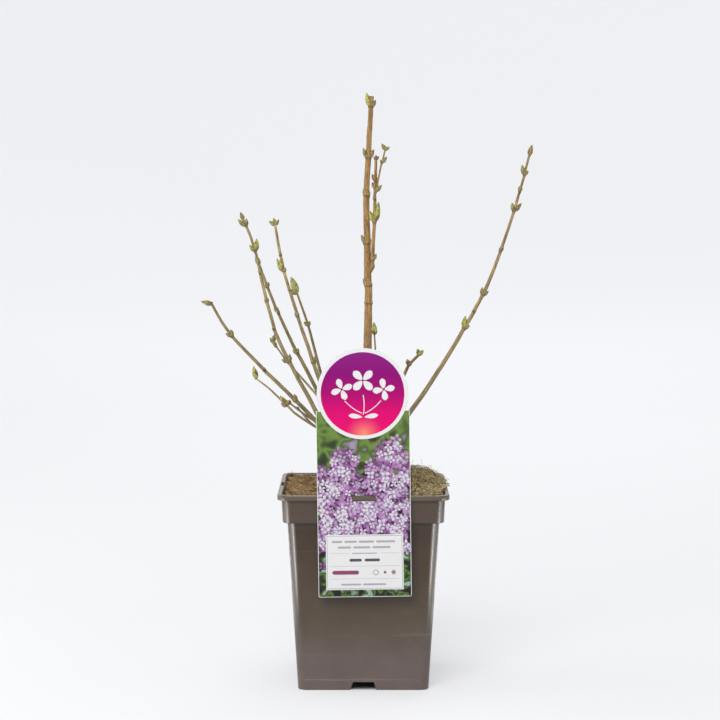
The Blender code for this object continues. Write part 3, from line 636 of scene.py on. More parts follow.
def draw_stray_hairs(form):
    """Single dry root hairs that stand off the mound, and one at the left of the rim."""
    chance = random.Random(HAIR_SEED)
    feet = [(blend(0.022, 0.080, chance.random()), chance.uniform(-0.07, 0.05)) for _ in range(HAIRS)]
    for x, y in feet + [RIM_HAIR]:
        spots = [Vector((x, y, soil_height(x, y)))]
        ahead = Vector((chance.uniform(-0.5, 0.7), chance.uniform(-0.6, 0.6), 1)).normalized()
        length = chance.uniform(*HAIR_LENGTHS)
        for _ in range(HAIR_RUNS):
            spots.append(spots[-1] + ahead * length / HAIR_RUNS)
            ahead = (ahead + Vector([chance.uniform(-0.30, 0.30) for _ in range(3)])).normalized()
        draw_strand(form, spots, HAIR_WIDTH)


hairs = new_piece("stray_root_hairs", draw_stray_hairs, [DRY_ROOTS[0]], smooth_below=180)
belongs(hairs)


# Trunk and boughs. Young lilac wood, pruned flat at the top of the trunk. The boughs fork from the
# trunk's side or come up beside it as suckers, each one on its own foot, with a smooth tan-brown bark.
GAP = 0.0003
STAND = SEAT_LEVEL + GAP
# One opposite pair of buds: its place as a share of the stem's length, its turn about the stem in
# degrees from the plane seen from the front, and the lengths in millimetres of the left and the
# right bud. From pair to pair the turn goes on by about a right angle, as it does on a lilac.
Pair = namedtuple("Pair", "share turn left right")

# A stem or twig: the points it passes through, its width at foot and tip, its pairs of buds, and the
# lengths in millimetres of the tip's middle, left and right buds.
Shoot = namedtuple("Shoot", "route widths pairs tip")

TRUNK = Shoot(
    route=(
        (0.0050, 0.0030, STAND), (0.0050, 0.0030, 0.3600), (0.0055, 0.0040, 0.4090),
        (0.0040, 0.0055, 0.4675), (0.0035, 0.0065, 0.5210), (0.0060, 0.0080, 0.5735),
        (0.0088, 0.0090, 0.6265),
    ),
    widths=(0.0112, 0.0050),
    pairs=(
        Pair(0.473, 0, 0, 5), Pair(0.519, 20, 9, 5), Pair(0.627, 0, 11, 6), Pair(0.748, 35, 9, 6),
        Pair(0.845, 0, 12, 11), Pair(0.975, 0, 16, 9),
    ),
    tip=(0, 0, 0),
)

# Each limb runs on from a bough, up to the given share of its length, into the main stem of a mass
Limb = namedtuple("Limb", "bough mass bough_share shoot")

LIMBS = (
    Limb("bough_left_low", "twigs_left_low", 0.19, Shoot(
        route=(
            (0.0050, 0.0030, 0.2300), (-0.0330, -0.0160, 0.2625), (-0.0490, -0.0210, 0.2785),
            (-0.0675, -0.0270, 0.2985), (-0.1065, -0.0365, 0.3385), (-0.1415, -0.0505, 0.3780),
            (-0.1587, -0.0600, 0.4080),
        ),
        widths=(0.0056, 0.0028),
        pairs=(Pair(0.43, 0, 4, 8), Pair(0.624, 80, 5, 6), Pair(0.833, 10, 8, 8)),
        tip=(4, 13, 4),
    )),
    Limb("bough_left_middle", "twigs_left_middle", 0.14, Shoot(
        route=(
            (-0.0090, 0.0150, STAND), (-0.0330, 0.0150, 0.2535), (-0.0520, 0.0160, 0.2885),
            (-0.0770, 0.0255, 0.3335), (-0.0960, 0.0365, 0.3720), (-0.1085, 0.0485, 0.4170),
            (-0.1200, 0.0610, 0.4640), (-0.1325, 0.0700, 0.4945),
        ),
        widths=(0.0056, 0.0027),
        pairs=(
            Pair(0.475, 0, 8, 9), Pair(0.60, 90, 5, 4), Pair(0.70, 0, 4, 4), Pair(0.80, 90, 6, 6),
            Pair(0.88, 0, 10, 15), Pair(0.975, 20, 13, 9),
        ),
        tip=(10, 0, 0),
    )),
    Limb("bough_left_high", "twigs_left_high", 0.16, Shoot(
        route=(
            (-0.0095, 0.0020, STAND), (-0.0275, 0.0050, 0.2640), (-0.0500, 0.0200, 0.3275),
            (-0.0705, 0.0490, 0.3845), (-0.0875, 0.0745, 0.4360), (-0.0983, 0.0980, 0.4875),
        ),
        widths=(0.0052, 0.0029),
        pairs=(Pair(0.454, 0, 4, 9), Pair(0.64, 60, 10, 6), Pair(0.82, 0, 19, 5), Pair(0.882, 85, 6, 5)),
        tip=(10, 10, 9),
    )),
    Limb("bough_right", "twigs_right", 0.13, Shoot(
        route=(
            (0.0050, 0.0030, 0.2260), (0.0300, 0.0050, 0.2565), (0.0505, 0.0100, 0.2860),
            (0.0710, 0.0165, 0.3145), (0.1035, 0.0270, 0.3660), (0.1330, 0.0375, 0.4180),
            (0.1535, 0.0475, 0.4700), (0.1720, 0.0575, 0.5265), (0.1823, 0.0650, 0.5642),
        ),
        widths=(0.0058, 0.0026),
        pairs=(
            Pair(0.47, 0, 14, 7), Pair(0.525, 90, 3, 3), Pair(0.579, 0, 9, 8), Pair(0.714, 75, 8, 7),
            Pair(0.835, 0, 10, 13), Pair(0.893, 90, 10, 8), Pair(0.944, 0, 12, 7),
        ),
        tip=(14, 0, 4),
    )),
)

# Twigs that leave the main stem of a mass: the share of that stem where each one leaves it
Twig = namedtuple("Twig", "mass leaves_at shoot")

TWIGS = (
    Twig("twigs_left_low", 0.02, Shoot(
        route=((-0.0637, -0.0100, 0.2807), (-0.0834, 0.0070, 0.2951), (-0.0962, 0.0190, 0.3065),
               (-0.1171, 0.0380, 0.3208)),
        widths=(0.0030, 0.0018), pairs=(Pair(0.54, 60, 12, 14),), tip=(4, 0, 17),
    )),
    Twig("twigs_left_low", 0.12, Shoot(
        route=((-0.0700, -0.0140, 0.2920), (-0.0787, -0.0100, 0.2986)),
        widths=(0.0026, 0.0018), pairs=(), tip=(7, 6, 5),
    )),
    Twig("twigs_left_low", 0.03, Shoot(
        route=((-0.0545, -0.0240, 0.2780), (-0.0694, -0.0320, 0.2953)),
        widths=(0.0026, 0.0018), pairs=(), tip=(4, 0, 0),
    )),
    Twig("twigs_left_middle", 0.02, Shoot(
        route=((-0.0405, 0.0040, 0.2890), (-0.0520, -0.0100, 0.3170), (-0.0750, -0.0330, 0.3640),
               (-0.0965, -0.0590, 0.4160), (-0.1080, -0.0775, 0.4500)),
        widths=(0.0050, 0.0026),
        pairs=(Pair(0.511, 0, 6, 6), Pair(0.738, 70, 10, 7), Pair(0.88, 0, 4, 6)), tip=(13, 0, 0),
    )),
    Twig("twigs_left_middle", 0.03, Shoot(
        route=((-0.0470, 0.0240, 0.2985), (-0.0660, 0.0460, 0.3185), (-0.0855, 0.0640, 0.3390),
               (-0.1000, 0.0740, 0.3580)),
        widths=(0.0032, 0.0018), pairs=(Pair(0.80, 0, 8, 6), Pair(0.96, 70, 5, 9)), tip=(8, 0, 11),
    )),
    Twig("twigs_left_high", 0.03, Shoot(
        route=((-0.0370, -0.0080, 0.3000), (-0.0465, -0.0200, 0.3360), (-0.0580, -0.0560, 0.3865),
               (-0.0686, -0.0860, 0.4205)),
        widths=(0.0040, 0.0022), pairs=(Pair(0.429, 90, 4, 4), Pair(0.75, 0, 8, 6)), tip=(26, 13, 0),
    )),
)

# Masses that leave the trunk's side: the height of the fork, the main stem and its own twigs
Spur = namedtuple("Spur", "mass fork shoot twigs")

SPURS = (
    Spur("twigs_top", 0.4450, Shoot(
        route=((0.0102, 0.0005, 0.4590), (0.0118, -0.0060, 0.4900), (0.0122, -0.0130, 0.5220),
               (0.0133, -0.0210, 0.5590)),
        widths=(0.0042, 0.0030),
        pairs=(
            Pair(0.066, 0, 3, 8), Pair(0.421, 0, 14, 23), Pair(0.64, 90, 4, 4), Pair(0.74, 10, 7, 0),
            Pair(0.81, 10, 8, 4),
        ),
        tip=(6, 5, 6),
    ), (
        (0.66, Shoot(
            route=((0.0172, -0.0270, 0.5440), (0.0199, -0.0320, 0.5572), (0.0230, -0.0360, 0.5690)),
            widths=(0.0022, 0.0018), pairs=(Pair(0.12, 0, 0, 11), Pair(0.74, 0, 4, 9)), tip=(3, 9, 7),
        )),
    )),
    Spur("twigs_inner", 0.3180, Shoot(
        route=((0.0122, -0.0060, 0.3400), (0.0124, -0.0130, 0.3600), (0.0118, -0.0180, 0.3740)),
        widths=(0.0026, 0.0017), pairs=(), tip=(15, 5, 6),
    ), ()),
    Spur("twigs_right_low", 0.2580, Shoot(
        route=((0.0300, -0.0065, 0.3020), (0.0450, -0.0150, 0.3320), (0.0495, -0.0320, 0.3435),
               (0.0585, -0.0450, 0.3535)),
        widths=(0.0046, 0.0030), pairs=(Pair(0.82, 0, 10, 4),), tip=(11, 9, 0),
    ), ()),
)

RING_SPACING = 0.022
RING_WANDER = 0.0003
SQUARE_END = 0.0025
NODE_SWELL = 1.17
NODE_HALF_LENGTH = 0.0022
NODE_CLEAR = 1.5
FLARE_WIDTH = 0.019
FLARE_HEIGHT = 0.012
FLARE_RINGS = (0.4, 0.9, 1.5)
FOOT_RINGS = ((0, 1.45), (0.0025, 1.25), (0.006, 1.08))
COLLAR_SWELL = 1.3
HEADING_STEP = 0.004
ROOT_DEPTH = 0.005
INSIDE_DROP = 0.010
INSIDE_WIDTH = 0.8
SPLICE_DEPTH = 0.0015
SPLICE_WIDTH = 0.92
TRUNK_SEED, LIMB_SEED, SPUR_SEED = 11, 20, 40
TRUNK_SIDES = 28
BOUGH_SIDES = 22
STEM_SIDES = 18
TWIG_SIDES = 14


class Route:
    """A smooth line through points, read by its share of the length between them."""

    def __init__(self, points):
        self.points = [Vector(p) for p in points]
        self.marks = [0.0]
        for start, end in zip(self.points, self.points[1:]):
            self.marks.append(self.marks[-1] + (end - start).length)
        self.length = self.marks[-1]

    def slope(self, index):
        low = max(index - 1, 0)
        high = min(index + 1, len(self.points) - 1)
        return (self.points[high] - self.points[low]) / (self.marks[high] - self.marks[low])

    def at(self, share):
        along = min(max(share, 0), 1) * self.length
        index = 0
        while index < len(self.points) - 2 and along > self.marks[index + 1]:
            index += 1
        span = self.marks[index + 1] - self.marks[index]
        t = (along - self.marks[index]) / span
        start, end = self.points[index], self.points[index + 1]
        return ((2 * t ** 3 - 3 * t ** 2 + 1) * start + (t ** 3 - 2 * t ** 2 + t) * span * self.slope(index)
                + (3 * t ** 2 - 2 * t ** 3) * end + (t ** 3 - t ** 2) * span * self.slope(index + 1))

    def heading(self, share):
        return (self.at(share + HEADING_STEP) - self.at(share - HEADING_STEP)).normalized()


def limb_rings(route, widths, start, end, nodes, chance, foot_swell=1.0):
    """Rings from one share of a route to another, a little thicker at each bud node."""
    shares = [start, end]
    count = max(2, round((end - start) * route.length / RING_SPACING))
    shares += [start + (end - start) * step / count for step in range(1, count)]
    close = SQUARE_END / route.length
    shares += [start + close, end - close]
    half = NODE_HALF_LENGTH / route.length
    near_nodes = [s for s in shares if all(abs(s - n) > NODE_CLEAR * half for n in nodes)]
    marks = {round(s, 6): 1.0 for s in near_nodes}
    for node in nodes:
        for share, swell in ((node - half, 1.0), (node, NODE_SWELL), (node + half, 1.0)):
            if start < share < end:
                marks[round(share, 6)] = swell
    marks[round(start, 6)] = foot_swell
    rings = []
    for share in sorted(marks):
        place = route.at(share)
        if start + close < share < end - close:
            place += Vector([chance.uniform(-RING_WANDER, RING_WANDER) for _ in range(3)])
        rings.append((place, blend(*widths, share) / 2 * marks[share]))
    first, last = rings[0][0], rings[-1][0]
    rings[1] = (first + route.heading(start) * SQUARE_END, rings[1][1])
    rings[-2] = (last - route.heading(end) * SQUARE_END, rings[-2][1])
    return rings


def square_to(heading, turn):
    """The direction square to a heading, turned from the right-hand side seen from the front."""
    across = Vector((0, 1, 0)).cross(heading).normalized()
    deep = across.cross(heading).normalized()
    return across * math.cos(math.radians(turn)) + deep * math.sin(math.radians(turn))


def trunk_flare(height):
    """What the root flare adds to the trunk's radius at a height over the soil."""
    return (FLARE_WIDTH - TRUNK.widths[0]) / 2 * math.exp(-(height / FLARE_HEIGHT) ** 2)


def trunk_share(height):
    """The share of the trunk's length at a height, found by halving."""
    low, high = 0.0, 1.0
    for _ in range(30):
        middle = (low + high) / 2
        if TRUNK_ROUTE.at(middle).z < height:
            low = middle
        else:
            high = middle
    return low


def fork_point(fork, towards, radius):
    """A foot on the trunk's side, square to its heading and clear of the bark by the gap."""
    low = trunk_share(fork)
    axis = TRUNK_ROUTE.at(low)
    trunk_radius = blend(*TRUNK.widths, low) / 2 + trunk_flare(fork - SEAT_LEVEL)
    outward = Vector(towards) - axis
    rise = outward.z / outward.length
    outward.z = 0
    outward.normalize()
    return axis + outward * (trunk_radius + GAP + radius * rise)


def grown_in(rings, fork):
    """The rings of a limb with its first run inside the trunk, from which it leaves without a step."""
    inside = TRUNK_ROUTE.at(trunk_share(fork - INSIDE_DROP))
    return [(inside, rings[0][1] * INSIDE_WIDTH), *rings]


def rooted(rings):
    """The rings of a stem with its foot carried on into the compost."""
    spot, radius = rings[0]
    return [(spot - Vector((0, 0, ROOT_DEPTH)), radius), *rings]


def spliced(rings, heading):
    """The rings of a mass's main stem with its foot tucked into the bough's end."""
    spot, radius = rings[0]
    return [(spot - heading * SPLICE_DEPTH, radius * SPLICE_WIDTH), *rings]


BUD_LEAN = math.radians(25)
FULL_LEAN_LENGTH = 0.013
TIP_LEAN = math.radians(46)
BUD_INSET = 0.6
TURN_WANDER = 12
SCAR_DROP = 0.0012

# A bud: its foot, its heading, its length, and where the leaf below it has left its scar, if one did
Bud = namedtuple("Bud", "foot heading length scar")


def leaning(heading, sideways, lean):
    return (heading * math.cos(lean) + sideways * math.sin(lean)).normalized()


def buds_on(shoot, route, chance):
    """The opposite pairs, and the buds of the tip: the longer a bud, the closer it lies to its stem."""
    buds = []
    for pair in shoot.pairs:
        heading = route.heading(pair.share)
        radius = blend(*shoot.widths, pair.share) / 2
        for side, size in ((0, pair.right), (180, pair.left)):
            length = size * MM
            if not length:
                continue
            sideways = square_to(heading, pair.turn + side + chance.uniform(-TURN_WANDER, TURN_WANDER))
            lean = BUD_LEAN * min(1, FULL_LEAN_LENGTH / length) ** 2
            foot = route.at(pair.share) + sideways * radius * BUD_INSET
            scar = route.at(pair.share) + sideways * radius - heading * SCAR_DROP
            buds.append(Bud(foot, leaning(heading, sideways, lean), length, scar))
    heading = route.heading(1)
    across = square_to(heading, 0)
    middle, left, right = shoot.tip
    if middle:
        buds.append(Bud(route.at(1), heading, middle * MM, None))
    for size, sideways in ((left, -across), (right, across)):
        length = size * MM
        if length:
            lean = TIP_LEAN * min(1, FULL_LEAN_LENGTH / length)
            buds.append(Bud(route.at(1), leaning(heading, sideways, lean), length, None))
    return buds


def node_shares(shoot):
    return [pair.share for pair in shoot.pairs]


BARK_STEP = 0.0008
SCAR_RISE = 0.00045
SCAR_REACH = 0.0011
SCAR_RING_REACH = 3
NODE_RING = 0.0008
NODE_RING_TONE = 0.55
FAR = 9
CAP_RING = 0.8
CAP_RISES = (0.12, 0.18)
WRINKLE = 0.055
WRINKLE_LENGTH = 0.009
KNOB = 0.05
KNOB_LENGTH = 0.006
CRACK_GRAIN = (1 / 0.0011, 1 / 0.0011, 1 / 0.012)
PORE_GRAIN = (1 / 0.0026, 1 / 0.0026, 1 / 0.0052)
YOUNG_LEVEL, OLD_LEVEL = 0.42, 0.20


def bark_relief(around, along, radius, seed):
    """How far the bark stands in or out: long wrinkles, and slow knobs, in parts of the radius."""
    spot = Vector((math.cos(around), math.sin(around), 0)) * (1.6 + radius / 0.004)
    wrinkles = noise.noise(spot * 1.5 + Vector((seed, 0, along / WRINKLE_LENGTH)))
    knobs = noise.noise(Vector((seed, along / KNOB_LENGTH, around / 3)))
    return WRINKLE * wrinkles + KNOB * knobs


def close_end(form, row, middle, rise, marks, material_index):
    """Close the end of a stem with a ring and a peak: a low dome where it rises, or a flat cut."""
    inner = [form.verts.new(middle.lerp(v.co, CAP_RING) + rise * CAP_RISES[0]) for v in row]
    peak = form.verts.new(middle + rise * CAP_RISES[1])
    for vertex, outer in zip((*inner, peak), (*row, row[0])):
        vertex[marks] = outer[marks]
    for at in range(len(row)):
        after = (at + 1) % len(row)
        for corners in ((row[at], row[after], inner[after], inner[at]), (inner[at], inner[after], peak)):
            form.faces.new(corners).material_index = material_index


def bark_skin(form, rings, sides, buds, seed, cap=0):
    """A stem's bark over its rings: smooth between them, wrinkled, with a leaf scar under each bud."""
    line = Route([place for place, _ in rings])
    count = max(4, round(line.length / BARK_STEP))
    marks = form.verts.layers.float_vector["bark_place"]
    dark = form.verts.layers.float["leaf_scar"]
    scars = [bud.scar for bud in buds if bud.scar]
    rows = []
    index = 0
    for step in range(count + 1):
        share = step / count
        along = share * line.length
        while index < len(rings) - 2 and along > line.marks[index + 1]:
            index += 1
        part = smooth_step((along - line.marks[index]) / (line.marks[index + 1] - line.marks[index]))
        radius = blend(rings[index][1], rings[index + 1][1], part)
        middle = line.at(share)
        heading = line.heading(share)
        row = []
        for side in range(sides):
            around = math.tau * side / sides
            out = square_to(heading, math.degrees(around))
            spot = middle + out * (radius * (1 + bark_relief(around, along, radius, seed)))
            closest = min([(spot - scar).length_squared / SCAR_REACH ** 2 for scar in scars], default=FAR)
            level = min([(spot - scar).dot(heading) ** 2 / NODE_RING ** 2 for scar in scars
                         if (spot - scar).length < radius * SCAR_RING_REACH], default=FAR)
            vertex = form.verts.new(spot + out * SCAR_RISE * math.exp(-closest))
            vertex[dark] = max(math.exp(-closest / 2), NODE_RING_TONE * math.exp(-level))
            vertex[marks] = (math.cos(around) * radius, math.sin(around) * radius, along + seed)
            row.append(vertex)
        rows.append(row)
    skin(form, rows)
    for row, end, radius in ((rows[0], 0, -rings[0][1]), (rows[-1], 1, rings[-1][1])):
        rise = line.heading(end) * (0 if cap else radius)
        close_end(form, row, line.at(end), rise, marks, cap if end else 0)


def lilac_bark(name, hues, old_hue):
    """Matt bark, its cracks lengthwise and a millimetre apart, with pale corky pores and dark leaf scars."""
    finish = Finish(name, {"Roughness": 0.78, "Specular IOR Level": 0.3})
    run = finish.node("Attribute", {"attribute_name": "bark_place"}).outputs["Vector"]
    grain = finish.noise(1, 5, finish.stretched(CRACK_GRAIN, run), Roughness=0.65)
    age = finish.spread(finish.along("Z"), YOUNG_LEVEL, OLD_LEVEL, 0.05, 0.60)
    aged = finish.mix(age, finish.ramp(grain, *hues), old_hue)
    shade = finish.mix(0.45, aged, finish.noise(0.02, 3), "OVERLAY")
    pores = finish.node("TexVoronoi", {"Scale": 1, "Randomness": 1.0,
                                       "Vector": finish.stretched(PORE_GRAIN, run)})
    pore = finish.ramp(pores.outputs["Distance"], (0.11, 1.0), (0.17, 0.0))
    pored = finish.mix(pore, shade, "#a5977a")
    scar = finish.node("Attribute", {"attribute_name": "leaf_scar"}).outputs["Fac"]
    return finish.done(finish.mix(scar, pored, "#2f1d10"),
                       finish.bump(finish.reckon("ADD", grain, pore), 0.7, 0.0003))


# Lilac bark on two- to four-year wood is thin and matt. It is yellow-brown on the old trunk and an
# olive tan on the younger boughs and twigs, and greyer near the soil.
TRUNK_BARK = lilac_bark(
    "old_lilac_bark", [(0.30, "#3a280f"), (0.45, "#70532b"), (0.60, "#8f6f42"), (0.78, "#ac9162")], "#615440")
YOUNG_BARK = lilac_bark(
    "young_lilac_bark", [(0.30, "#312813"), (0.44, "#665534"), (0.60, "#8a774d"), (0.78, "#a8966c")],
    "#625d48")

# The pruned top of the trunk: cut across the grain and weathered pale.
finish = Finish("weathered_cut_wood", {"Roughness": 0.8})
CUT_WOOD = finish.done(finish.ramp(finish.noise(0.0008, 3), (0.3, "#736653"), (0.7, "#a29881")))

ALL_BUDS = {}
chance = random.Random(TRUNK_SEED)
TRUNK_ROUTE = Route(TRUNK.route)
trunk_rings = limb_rings(TRUNK_ROUTE, TRUNK.widths, 0, 1, node_shares(TRUNK), chance)
trunk_rings = [(spot, radius + trunk_flare(spot.z - SEAT_LEVEL)) for spot, radius in trunk_rings]
trunk_rings += [(trunk_rings[0][0] + Vector((0, 0, share * FLARE_HEIGHT)),
                 TRUNK.widths[0] / 2 + trunk_flare(share * FLARE_HEIGHT)) for share in FLARE_RINGS]
trunk_rings.sort(key=lambda ring: ring[0].z)
ALL_BUDS["trunk"] = buds_on(TRUNK, TRUNK_ROUTE, chance)


def finish_stem(name, stems, node, bark=YOUNG_BARK, cap=0):
    """One piece of bark over one or more stems, in the place of a node of the solids."""
    def fill(form):
        form.verts.layers.float_vector.new("bark_place")
        form.verts.layers.float.new("leaf_scar")
        for number, (rings, sides, buds) in enumerate(stems):
            bark_skin(form, rings, sides, buds, len(name) + 3.7 * number, cap)

    piece = new_piece(name, fill, [bark, CUT_WOOD], smooth_below=70)
    belongs(piece, node)


finish_stem("trunk_bark", [(rooted(trunk_rings), TRUNK_SIDES, ALL_BUDS["trunk"])], "trunk",
            TRUNK_BARK, cap=1)

mass_stems = {}
for number, limb in enumerate(LIMBS):
    chance = random.Random(LIMB_SEED + number)
    points = list(limb.shoot.route)
    fork = points[0][2]
    swell = 1.0
    if fork > STAND:
        swell = COLLAR_SWELL
        points[0] = fork_point(fork, points[1], limb.shoot.widths[0] / 2 * swell)
    route = Route(points)
    cut = limb.bough_share
    rings = limb_rings(route, limb.shoot.widths, 0, cut, (), chance, swell)
    if swell == 1.0:
        foot, radius = rings[0]
        rings[:2] = [(foot + Vector((0, 0, rise)), radius * wider) for rise, wider in FOOT_RINGS]
        rings = rooted(rings)
    else:
        rings = grown_in(rings, fork)
    finish_stem(f"{limb.bough}_bark", [(rings, BOUGH_SIDES, [])], limb.bough)

    rings = limb_rings(route, limb.shoot.widths, cut, 1, node_shares(limb.shoot), chance)
    clear = route.heading(cut) * GAP
    rings[:2] = [(spot + clear, radius) for spot, radius in rings[:2]]
    buds = buds_on(limb.shoot, route, chance)
    stems = [(spliced(rings, route.heading(cut)), STEM_SIDES, buds)]
    for twig in TWIGS:
        if twig.mass == limb.mass:
            own = Route([route.at(blend(cut, 1, twig.leaves_at)), *twig.shoot.route])
            own_rings = limb_rings(own, twig.shoot.widths, 0, 1, node_shares(twig.shoot), chance)
            own_buds = buds_on(twig.shoot, own, chance)
            stems.append((own_rings, TWIG_SIDES, own_buds))
    mass_stems[limb.mass] = stems


# Masses of twigs. Each one is the thin end of a bough, or a shoot from the trunk's side, with its own
# side twigs: the same bark, thinner and smoother, and a little swollen at each pair of buds, where a
# leaf has left its scar.
for number, spur in enumerate(SPURS):
    chance = random.Random(SPUR_SEED + number)
    foot = fork_point(spur.fork, spur.shoot.route[0], spur.shoot.widths[0] / 2 * COLLAR_SWELL)
    route = Route([foot, *spur.shoot.route])
    rings = limb_rings(route, spur.shoot.widths, 0, 1, node_shares(spur.shoot), chance, COLLAR_SWELL)
    stems = [(grown_in(rings, spur.fork), STEM_SIDES, buds_on(spur.shoot, route, chance))]
    for leaves_at, shoot in spur.twigs:
        own = Route([route.at(leaves_at), *shoot.route])
        own_rings = limb_rings(own, shoot.widths, 0, 1, node_shares(shoot), chance)
        stems.append((own_rings, TWIG_SIDES, buds_on(shoot, own, chance)))
    mass_stems[spur.mass] = stems

for mass, stems in mass_stems.items():
    finish_stem(f"{mass}_bark", stems, mass, TRUNK_BARK if mass == "twigs_top" else YOUNG_BARK)
    ALL_BUDS[mass] = [bud for _, _, buds in stems for bud in buds]

# Buds. A lilac bud is an egg-shaped point of overlapping scales in opposite pairs, each pair square to
# the one below. They sit on the nodes, olive with brown tips and here and there a corky scale. The
# strongest have begun to open, and so have those of the low mass on the right, which is ahead of the rest.
BUD_WIDTH = 0.0037
BUD_WIDTH_LENGTH = 0.0070
BUD_WIDTH_POWER = 0.52
BUD_SINK = 0.0012
FRESH_LENGTH = 0.0135
FRESH_TIP_LENGTH = 0.0145
FORWARD_MASS = "twigs_right_low"
FORWARD_LENGTH = 0.0085
DARK_LENGTH = 0.0070
SCALE_PAIRS = ((0.02, 0.42, 1.07), (0.05, 0.66, 1.04), (0.14, 0.86, 1.0), (0.26, 1.0, 0.95))
SCALE_ACROSS = 6
SCALE_ALONG = 6
SCALE_THICKNESS = 0.00016
SCALE_SPREAD = math.radians(96)
SCALE_LIFT = 0.00012
EDGE_THICKNESS = 0.00004
SMALLEST_RADIUS = 0.00002
OPEN_FLARE = 0.00030
SHUT_FLARE = 0.00012
CORE_SHARES = (0.0, 0.12, 0.3, 0.5, 0.7, 0.86, 0.97)
CORE_SIDES = 9
CORE_WIDTH = 0.93
SCALE_REACHES = (0.93, 1.0)
FOOT_RADIUS = 0.0006
LOW_CORKY_CHANCE = 0.35
CORKY_CHANCE = 0.12
BUD_SEED = 300
BROWN, OLIVE, PALE_EDGE, OPENING, OPENING_EDGE, DARK_TIP = range(6)
CORKY_COLOURS = (BROWN, OLIVE, DARK_TIP)


def bud_radius(share, length):
    """The bud's radius at a share of its length: a narrow foot, widest before the middle, a point."""
    width = BUD_WIDTH * (length / BUD_WIDTH_LENGTH) ** BUD_WIDTH_POWER
    t = min(max(share, 0), 1)
    return width / 2 * math.sin(math.pi * t ** 0.80) ** 0.85 * (1 - 0.12 * t)


def on_bud(to_place, angle, radius, height):
    return to_place @ Vector((math.cos(angle) * radius, math.sin(angle) * radius, height))


def draw_scale(form, to_place, length, low, high, stretch, turn, flare, colours):
    """One bud scale: a curved leaf-shaped shell that hugs the bud, with a pale edge and a brown tip."""
    outer, inner = [], []
    for row in range(SCALE_ALONG + 1):
        v = row / SCALE_ALONG
        share = blend(low, high, v)
        spread = SCALE_SPREAD * (1 - v ** 2.4) ** 0.6 * (0.70 + 0.30 * math.sin(math.pi * min(v * 1.3, 1)))
        lift = SCALE_LIFT * math.sin(math.pi * min(v + 0.15, 1)) + flare * v * v
        for made, sunk in ((outer, 0), (inner, SCALE_THICKNESS)):
            line = []
            for column in range(SCALE_ACROSS + 1):
                u = column / SCALE_ACROSS * 2 - 1
                body = bud_radius(share, length) * stretch * (1 + 0.12 * (1 - abs(u)) * math.sin(math.pi * v))
                inset = sunk * (1 - abs(u) ** 3) + EDGE_THICKNESS * bool(sunk)
                radius = max(body + lift - inset, SMALLEST_RADIUS)
                line.append(form.verts.new(on_bud(to_place, turn + u * spread, radius, share * length)))
            made.append(line)
    body, edge, tip = colours

    def add_face(corners, colour):
        form.faces.new(corners).material_index = colour

    for row in range(SCALE_ALONG):
        for column in range(SCALE_ACROSS):
            corners = [(row, column), (row, column + 1), (row + 1, column + 1), (row + 1, column)]
            at_edge = column in (0, SCALE_ACROSS - 1)
            colour = tip if row >= SCALE_ALONG - 1 or row == 0 else (edge if at_edge else body)
            add_face([outer[a][b] for a, b in corners], colour)
            add_face([inner[a][b] for a, b in reversed(corners)], body)
        add_face((outer[row][0], outer[row + 1][0], inner[row + 1][0], inner[row][0]), edge)
        add_face((outer[row + 1][-1], outer[row][-1], inner[row][-1], inner[row + 1][-1]), edge)
    for column in range(SCALE_ACROSS):
        add_face((outer[0][column + 1], outer[0][column], inner[0][column], inner[0][column + 1]), tip)
        add_face((outer[-1][column], outer[-1][column + 1], inner[-1][column + 1], inner[-1][column]), tip)


def colour_new_faces(form, before, material_index):
    """Give the faces that were added after a count of them one material."""
    form.faces.ensure_lookup_table()
    for face in form.faces[before:]:
        face.material_index = material_index


def draw_bud(form, bud, forward, chance):
    """One bud: a core and its pairs of scales, coloured by how far it has come on."""
    turn = bud.heading.to_track_quat("Z", "X").to_matrix().to_4x4()
    to_place = Matrix.Translation(bud.foot - bud.heading * BUD_SINK) @ turn
    at_tip = bud.scar is None
    opens_from = FORWARD_LENGTH if forward else (FRESH_TIP_LENGTH if at_tip else FRESH_LENGTH)
    flare = SHUT_FLARE
    colours = (OLIVE, PALE_EDGE, BROWN)
    if bud.length > opens_from:
        flare = OPEN_FLARE
        colours = (OPENING, OPENING_EDGE, OLIVE)
    elif at_tip and bud.length < DARK_LENGTH:
        colours = CORKY_COLOURS
    core = []
    for share in CORE_SHARES:
        radius = max(bud_radius(share, bud.length) * CORE_WIDTH, FOOT_RADIUS if share < 0.2 else 0)
        core.append([on_bud(to_place, math.tau * s / CORE_SIDES, radius, share * bud.length)
                     for s in range(CORE_SIDES)])
    before = len(form.faces)
    loft(form, core)
    colour_new_faces(form, before, colours[0])
    start = chance.uniform(0, math.tau)
    for number, (low, high, stretch) in enumerate(SCALE_PAIRS):
        for side in (0, math.pi):
            reach = high * chance.uniform(*SCALE_REACHES)
            corky = chance.random() < (LOW_CORKY_CHANCE if number == 0 else CORKY_CHANCE)
            worn = CORKY_COLOURS if corky else (*colours[:2], BROWN if number < 2 else colours[2])
            draw_scale(form, to_place, bud.length, low, reach, stretch, start + number * math.pi / 2 + side,
                       flare, worn)


def bud_scale(name, dark, light, roughness):
    """A bud scale is a small stiff leaf: waxy, with a faint mottle and fine ribs under a millimetre."""
    finish = Finish(name, {"Roughness": roughness, "IOR": 1.45})
    mottle = finish.noise(0.0016, 3)
    return finish.done(finish.ramp(mottle, (0.35, dark), (0.65, light)), finish.bump(mottle, 0.3, 0.0002))


